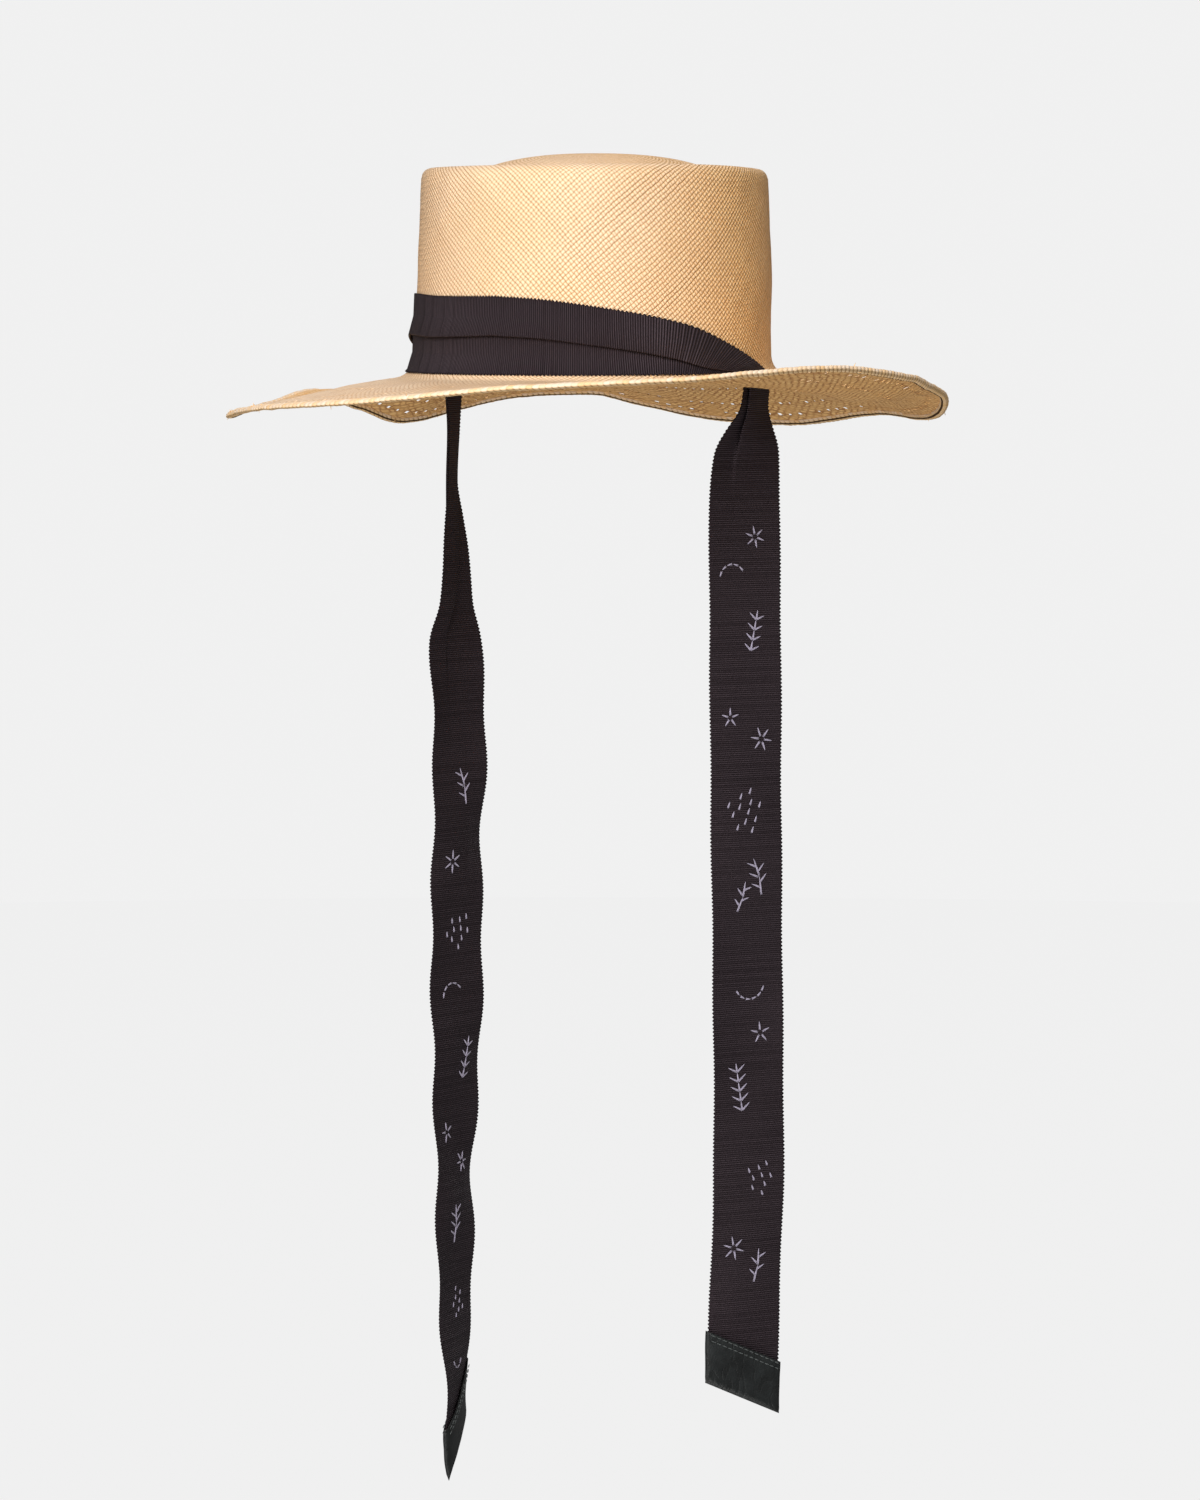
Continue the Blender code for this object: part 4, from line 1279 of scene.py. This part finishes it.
class STRAWHAT_OT_plait(bpy.types.Operator):
    """Plait the knotted edge that ends the brim"""

    bl_idname = "straw_hat.plait"
    bl_label = "Plait Brim Edge"

    def execute(self, context):
        look = context.scene.straw_hat
        rows = PLAIT_KNOTS * KNOT_STEPS
        fineness, variety = KNOT_VARIETY
        mesh = bmesh.new()
        layer = mesh.loops.layers.uv.new("knots")
        bmesh.ops.create_grid(mesh, x_segments=PLAIT_SIDES, y_segments=rows, size=1.0)
        for face in mesh.faces:
            for loop in face.loops:
                turn = (loop.vert.co.x + 1) * math.pi
                along = (loop.vert.co.y + 1) / 2 * PLAIT_KNOTS
                loop[layer].uv = (along + PLAIT_SLANT * math.cos(turn), turn / math.tau * 4)
        for vert in mesh.verts:
            turn = (vert.co.x + 1) * math.pi
            share = (vert.co.y + 1) / 2
            knot = PLAIT_KNOTS * share + PLAIT_SLANT * math.cos(turn)
            lobe = abs(math.sin(math.pi * knot)) ** KNOT_FULLNESS - 0.5
            around = Vector((math.sin(math.tau * share), math.cos(math.tau * share), 0))
            swell = look.plait_relief * (lobe + variety * noise.noise(around * fineness))
            out = BRIM_WIDTH - LIP_WIDTH / 2 + math.cos(turn) * (LIP_WIDTH / 2 + swell)
            height = -STRAW / 2 + math.sin(turn) * (STRAW / 2 + LIP_PROUD + swell)
            azimuth = 360 * share - 180
            place = on_head(azimuth, BASE_RADIUS + out, height)
            place.z += uneven(azimuth, BASE_RADIUS + out, 0.0)
            vert.co = place
        bmesh.ops.remove_doubles(mesh, verts=mesh.verts, dist=MERGED)
        bmesh.ops.recalc_face_normals(mesh, faces=mesh.faces)
        finished("edge_plait", mesh, plait_finish(look), "straw")
        return {"FINISHED"}


class STRAWHAT_OT_ends(bpy.types.Operator):
    """Leave a few fine straw ends standing at the brim's edge"""

    bl_idname = "straw_hat.ends"
    bl_label = "Add Straw Ends"

    def execute(self, context):
        chances = random.Random(5)
        mesh = bmesh.new()
        for _ in range(STRAW_ENDS):
            azimuth = chances.uniform(-180, 180)
            out = BRIM_WIDTH - chances.uniform(0.0, LIP_WIDTH)
            side = chances.choice((-1, 1))
            seat = STRAW / 2 + LIP_PROUD * END_SEAT
            foot = on_head(azimuth, BASE_RADIUS + out, -STRAW / 2 + side * seat)
            normal = oval_normal(azimuth)
            away = normal * chances.uniform(*END_OUTWARDS)
            away.z += side * chances.uniform(*END_UPWARDS)
            along = Vector((0, 0, 1)).cross(normal) * chances.uniform(-1.0, 1.0)
            way = (away + along).normalized()
            length = chances.uniform(*END_LENGTHS)
            turned = way.to_track_quat("Z", "Y").to_matrix().to_4x4()
            matrix = Matrix.Translation(foot + way * length / 2) @ turned
            size = dict(zip(("radius1", "radius2"), END_RADII), depth=length)
            bmesh.ops.create_cone(mesh, cap_ends=True, segments=END_SIDES, matrix=matrix, **size)
        look = context.scene.straw_hat
        finished("straw_ends", mesh, thread_finish("straw_fibre", look.straw_color), "straw")
        return {"FINISHED"}


class STRAWHAT_OT_ribbon(bpy.types.Operator):
    """Fold the ribbon round the crown, through the slits and down both ties"""

    bl_idname = "straw_hat.ribbon"
    bl_label = "Fold Ribbon"

    def execute(self, context):
        look = context.scene.straw_hat
        mesh, length = weave_ribbon(look)
        bmesh.ops.recalc_face_normals(mesh, faces=mesh.faces)
        piece = finished("ribbed_ribbon", mesh, ribbon_finish(look), "ribbon", "ribbon")
        wall = piece.modifiers.new("thickness", "SOLIDIFY")
        wall.thickness = look.ribbon_thickness
        wall.offset = 0.0
        wall.use_even_offset = True
        return {"FINISHED"}


class STRAWHAT_OT_tips(bpy.types.Operator):
    """Sew a leather sleeve over the end of each tie"""

    bl_idname = "straw_hat.tips"
    bl_label = "Sew Leather Tips"

    def execute(self, context):
        look = context.scene.straw_hat
        leather = leather_finish(look)
        stitches = bmesh.new()
        for tie in TIES:
            name = TIE_NAMES[tie.side]
            finished(f"{name}_leather", leather_sleeve(tie), leather, "leather", f"{name}_tip")
            sew_tip(stitches, tie, look.thread * TIP_THREAD)
        thread = thread_finish("leather_thread", TIP_THREAD_COLOR)
        finished("tip_stitches", stitches, thread, "leather")
        return {"FINISHED"}


def tip_ring(tie, drop, thin):
    """A flat ring of leather round the ribbon at a drop, as points."""
    half_width = RIBBON_WIDTH / 2 + CLEARANCE + LEATHER
    half_thick = CAD_RIBBON / 2 + CLEARANCE + LEATHER - thin
    fineness, depth = DENTS
    points = []
    for step in range(TIP_SIDES):
        turn = math.tau * step / TIP_SIDES
        across = half_width * math.copysign(abs(math.cos(turn)) ** ROUNDING_ACROSS, math.cos(turn))
        out = half_thick * math.copysign(abs(math.sin(turn)) ** ROUNDING_OUT, math.sin(turn))
        down = slanted_drop(tie, drop, across)
        spot = tie_point(tie, down, across, out)
        dent = noise.noise(spot * fineness) * depth
        points.append(tie_point(tie, down, across, out + dent))
    return points


def leather_sleeve(tie):
    """A sleeve with a sealed foot, thinned to an edge at its mouth and at its foot."""
    mesh = bmesh.new()
    bmesh.ops.create_circle(mesh, segments=TIP_SIDES, radius=1.0)
    mesh.verts.ensure_lookup_table()
    ring = list(mesh.verts)
    loop = list(mesh.edges)
    inner = CAD_RIBBON / 2 + CLEARANCE
    top = tie.length - TIP_LENGTH
    courses = [(top + MOUTH_LAP, LEATHER * LAP_THINNING), (top, LEATHER * LAP_THINNING)]
    for step in range(TIP_STEPS + 1):
        share = step / TIP_STEPS
        foot = ease(share, FOOT_START, 1.0) * (LEATHER + inner) * FOOT_THINNING
        mouth = (1 - ease(share, 0.0, MOUTH_END)) * LEATHER * MOUTH_THINNING
        courses.append((top + TIP_LENGTH * share, foot + mouth))
    for index, (drop, thin) in enumerate(courses):
        if index:
            made = bmesh.ops.extrude_edge_only(mesh, edges=loop)["geom"]
            fresh = {item for item in made if isinstance(item, bmesh.types.BMVert)}
            edges = [item for item in made if isinstance(item, bmesh.types.BMEdge)]
            loop = [edge for edge in edges if fresh.issuperset(edge.verts)]
            beside = [[edge.other_vert(vert) for edge in vert.link_edges] for vert in ring]
            ring = [next(vert for vert in verts if vert in fresh) for verts in beside]
        for vert, spot in zip(ring, tip_ring(tie, drop, thin)):
            vert.co = spot
    bmesh.ops.holes_fill(mesh, edges=loop, sides=0)
    bmesh.ops.recalc_face_normals(mesh, faces=mesh.faces)
    return mesh


def sew_tip(mesh, tie, thread):
    """Two rows of small stitches on each face, along the mouth of the sleeve."""
    count = int((RIBBON_WIDTH - 2 * STITCH_MARGIN) / STITCH_PITCH)
    for shown in (-1, 1):
        for row in STITCH_ROWS:
            for step in range(count + 1):
                middle = (step - count / 2) * STITCH_PITCH
                ends = []
                for across in (middle - STITCH_LENGTH / 2, middle + STITCH_LENGTH / 2):
                    drop = slanted_drop(tie, tie.length - TIP_LENGTH + row, across)
                    ends.append(on_tie(tie, across, drop, CAD_RIBBON / 2 + CLEARANCE + LEATHER, shown))
                thread_stitch(mesh, ends[0][0], ends[1][0], ends[0][1], thread)


class STRAWHAT_OT_embroidery(bpy.types.Operator):
    """Embroider small sprigs, stars and grains down both ties"""

    bl_idname = "straw_hat.embroidery"
    bl_label = "Embroider Ties"

    def execute(self, context):
        look = context.scene.straw_hat
        mesh = bmesh.new()
        for tie in TIES:
            for motif in MOTIFS[tie.side]:
                turned = Matrix.Rotation(math.radians(motif.turn), 2)
                centre = Vector((motif.across * RIBBON_WIDTH / 2, -motif.down * tie.length))
                for first, second in motif.shape(motif.size * MOTIF_SIZE, motif.parts):
                    ends = [centre + turned @ spot for spot in (first, second)]
                    (start, out), (end, _) = (
                        on_tie(tie, spot.x, -spot.y, look.ribbon_thickness / 2, tie.shown) for spot in ends
                    )
                    beside = (end - start).cross(out).normalized() * look.thread * 0.4
                    thread_stitch(mesh, start + beside, end, out, look.thread * 0.7)
                    thread_stitch(mesh, start - beside, end, out, look.thread * 0.7)
        if not mesh.verts:
            raise RuntimeError("the embroidery has no stitches")
        finished("embroidery", mesh, thread_finish("embroidery_thread", look.thread_color), "ribbon")
        return {"FINISHED"}


# Each light's direction from the hat as degrees round from the camera and up, its distance and
# width in metres, its power in watts and its colour.
Lamp = namedtuple("Lamp", "name azimuth rise distance width power color")
LAMPS = (
    Lamp("key", -13, 23, 2.6, 1.4, 92, (1.0, 0.985, 0.96)),
    Lamp("fill", 72, 8, 3.0, 2.0, 9, (1.0, 0.985, 0.96)),
    Lamp("bounce", -20, -62, 2.6, 2.4, 52, (1.0, 0.985, 0.96)),
    Lamp("back", 165, 45, 3.0, 2.0, 30, (1.0, 1.0, 1.0)),
)
WORLD_LIGHT = 0.16
FLOOR_SHADING = 0.015


def around_camera(azimuth, rise, distance):
    """A place at a distance from the hat, with azimuths counted from the camera's."""
    turn = math.radians(CAMERA_AZIMUTH + azimuth)
    lean = math.radians(rise)
    level = Vector((math.sin(turn), -math.cos(turn), 0)) * math.cos(lean)
    return (level + Vector((0, 0, math.sin(lean)))) * distance


class STRAWHAT_OT_stage(bpy.types.Operator):
    """Set the floor, the studio lights and the camera"""

    bl_idname = "straw_hat.stage"
    bl_label = "Set Stage"

    def execute(self, context):
        scene = context.scene
        look = scene.straw_hat
        self.lay_floor(look)
        self.hang_lights(scene)
        self.place_camera(scene)
        scene.view_settings.view_transform = "Standard"
        return {"FINISHED"}

    def lay_floor(self, look):
        mesh = bmesh.new()
        matrix = Matrix.Translation((0, 0, -FLOOR_DROP))
        bmesh.ops.create_circle(mesh, cap_ends=True, segments=96, radius=FLOOR_RADIUS, matrix=matrix)
        data = bpy.data.meshes.new("floor")
        mesh.to_mesh(data)
        mesh.free()
        floor = bpy.data.objects.new("floor", data)
        bpy.context.scene.collection.objects.link(floor)
        floor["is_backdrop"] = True
        # The floor glows evenly and lights nothing, so it is one pale sheet from edge to edge.
        constants = {
            "Base Color": rgba(look.floor_color, FLOOR_SHADING),
            "Roughness": 1.0,
            "Specular IOR Level": 0.0,
            "Emission Color": rgba(look.floor_color),
            "Emission Strength": 1.0 - FLOOR_SHADING,
        }
        data.materials.append(Finish("floor_paper").dress(constants))
        floor.visible_diffuse = False
        floor.visible_glossy = False
        floor.visible_shadow = False

    def hang_lights(self, scene):
        for lamp in LAMPS:
            light = bpy.data.lights.new(lamp.name, "AREA")
            light.energy = lamp.power
            light.size = lamp.width
            light.color = lamp.color
            holder = bpy.data.objects.new(lamp.name, light)
            scene.collection.objects.link(holder)
            holder.visible_camera = False
            holder.location = around_camera(lamp.azimuth, lamp.rise, lamp.distance)
            holder.rotation_euler = holder.location.to_track_quat("Z", "Y").to_euler()
        world = bpy.data.worlds.new("studio")
        world.use_nodes = True
        tree = world.node_tree
        lit = tree.nodes["Background"]
        lit.inputs["Color"].default_value = (1, 1, 1, 1)
        lit.inputs["Strength"].default_value = WORLD_LIGHT
        seen = tree.nodes.new("ShaderNodeBackground")
        seen.inputs["Color"].default_value = rgba(scene.straw_hat.floor_color)
        path = tree.nodes.new("ShaderNodeLightPath")
        either = tree.nodes.new("ShaderNodeMixShader")
        tree.links.new(path.outputs["Is Camera Ray"], either.inputs[0])
        tree.links.new(lit.outputs[0], either.inputs[1])
        tree.links.new(seen.outputs[0], either.inputs[2])
        tree.links.new(either.outputs[0], tree.nodes["World Output"].inputs["Surface"])
        scene.world = world

    def place_camera(self, scene):
        turn = math.radians(CAMERA_AZIMUTH)
        beside = Vector((math.cos(turn), math.sin(turn), 0))
        data = bpy.data.cameras.new("camera")
        data.lens = CAMERA_LENS
        camera = bpy.data.objects.new("camera", data)
        scene.collection.objects.link(camera)
        across, height = CAMERA_AIM
        target = beside * across + Vector((0, 0, height))
        camera.location = around_camera(0, 0, CAMERA_DISTANCE) + Vector((0, 0, CAMERA_HEIGHT))
        camera.rotation_euler = (camera.location - target).to_track_quat("Z", "Y").to_euler()
        scene.camera = camera


class STRAWHAT_PT_panel(bpy.types.Panel):
    """Lists the hat's pieces and its sizes and colours"""

    bl_idname = "STRAWHAT_PT_panel"
    bl_label = "Straw Hat"
    bl_space_type = "VIEW_3D"
    bl_region_type = "UI"
    bl_category = "Straw Hat"

    def draw(self, context):
        look = context.scene.straw_hat
        for name in look.bl_rna.properties.keys():
            if name not in ("rna_type", "name"):
                self.layout.prop(look, name)
        for operator in OPERATORS:
            self.layout.operator(operator.bl_idname)


OPERATORS = (
    STRAWHAT_OT_stage,
    STRAWHAT_OT_body,
    STRAWHAT_OT_plait,
    STRAWHAT_OT_ends,
    STRAWHAT_OT_tips,
    STRAWHAT_OT_embroidery,
    STRAWHAT_OT_ribbon,
)
CLASSES = (StrawHatLook, *OPERATORS, STRAWHAT_PT_panel)


def register():
    for cls in CLASSES:
        bpy.utils.register_class(cls)
    bpy.types.Scene.straw_hat = PointerProperty(type=StrawHatLook)


def unregister():
    del bpy.types.Scene.straw_hat
    for cls in reversed(CLASSES):
        bpy.utils.unregister_class(cls)


def main():
    register()
    for operator in OPERATORS:
        group, name = operator.bl_idname.split(".")
        getattr(getattr(bpy.ops, group), name)()
    boxes = {"cad": CAD_BOX, "visual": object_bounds()}
    {name: [list(corner) for corner in box] for name, box in boxes.items()}


if __name__ == "__main__":
    main()
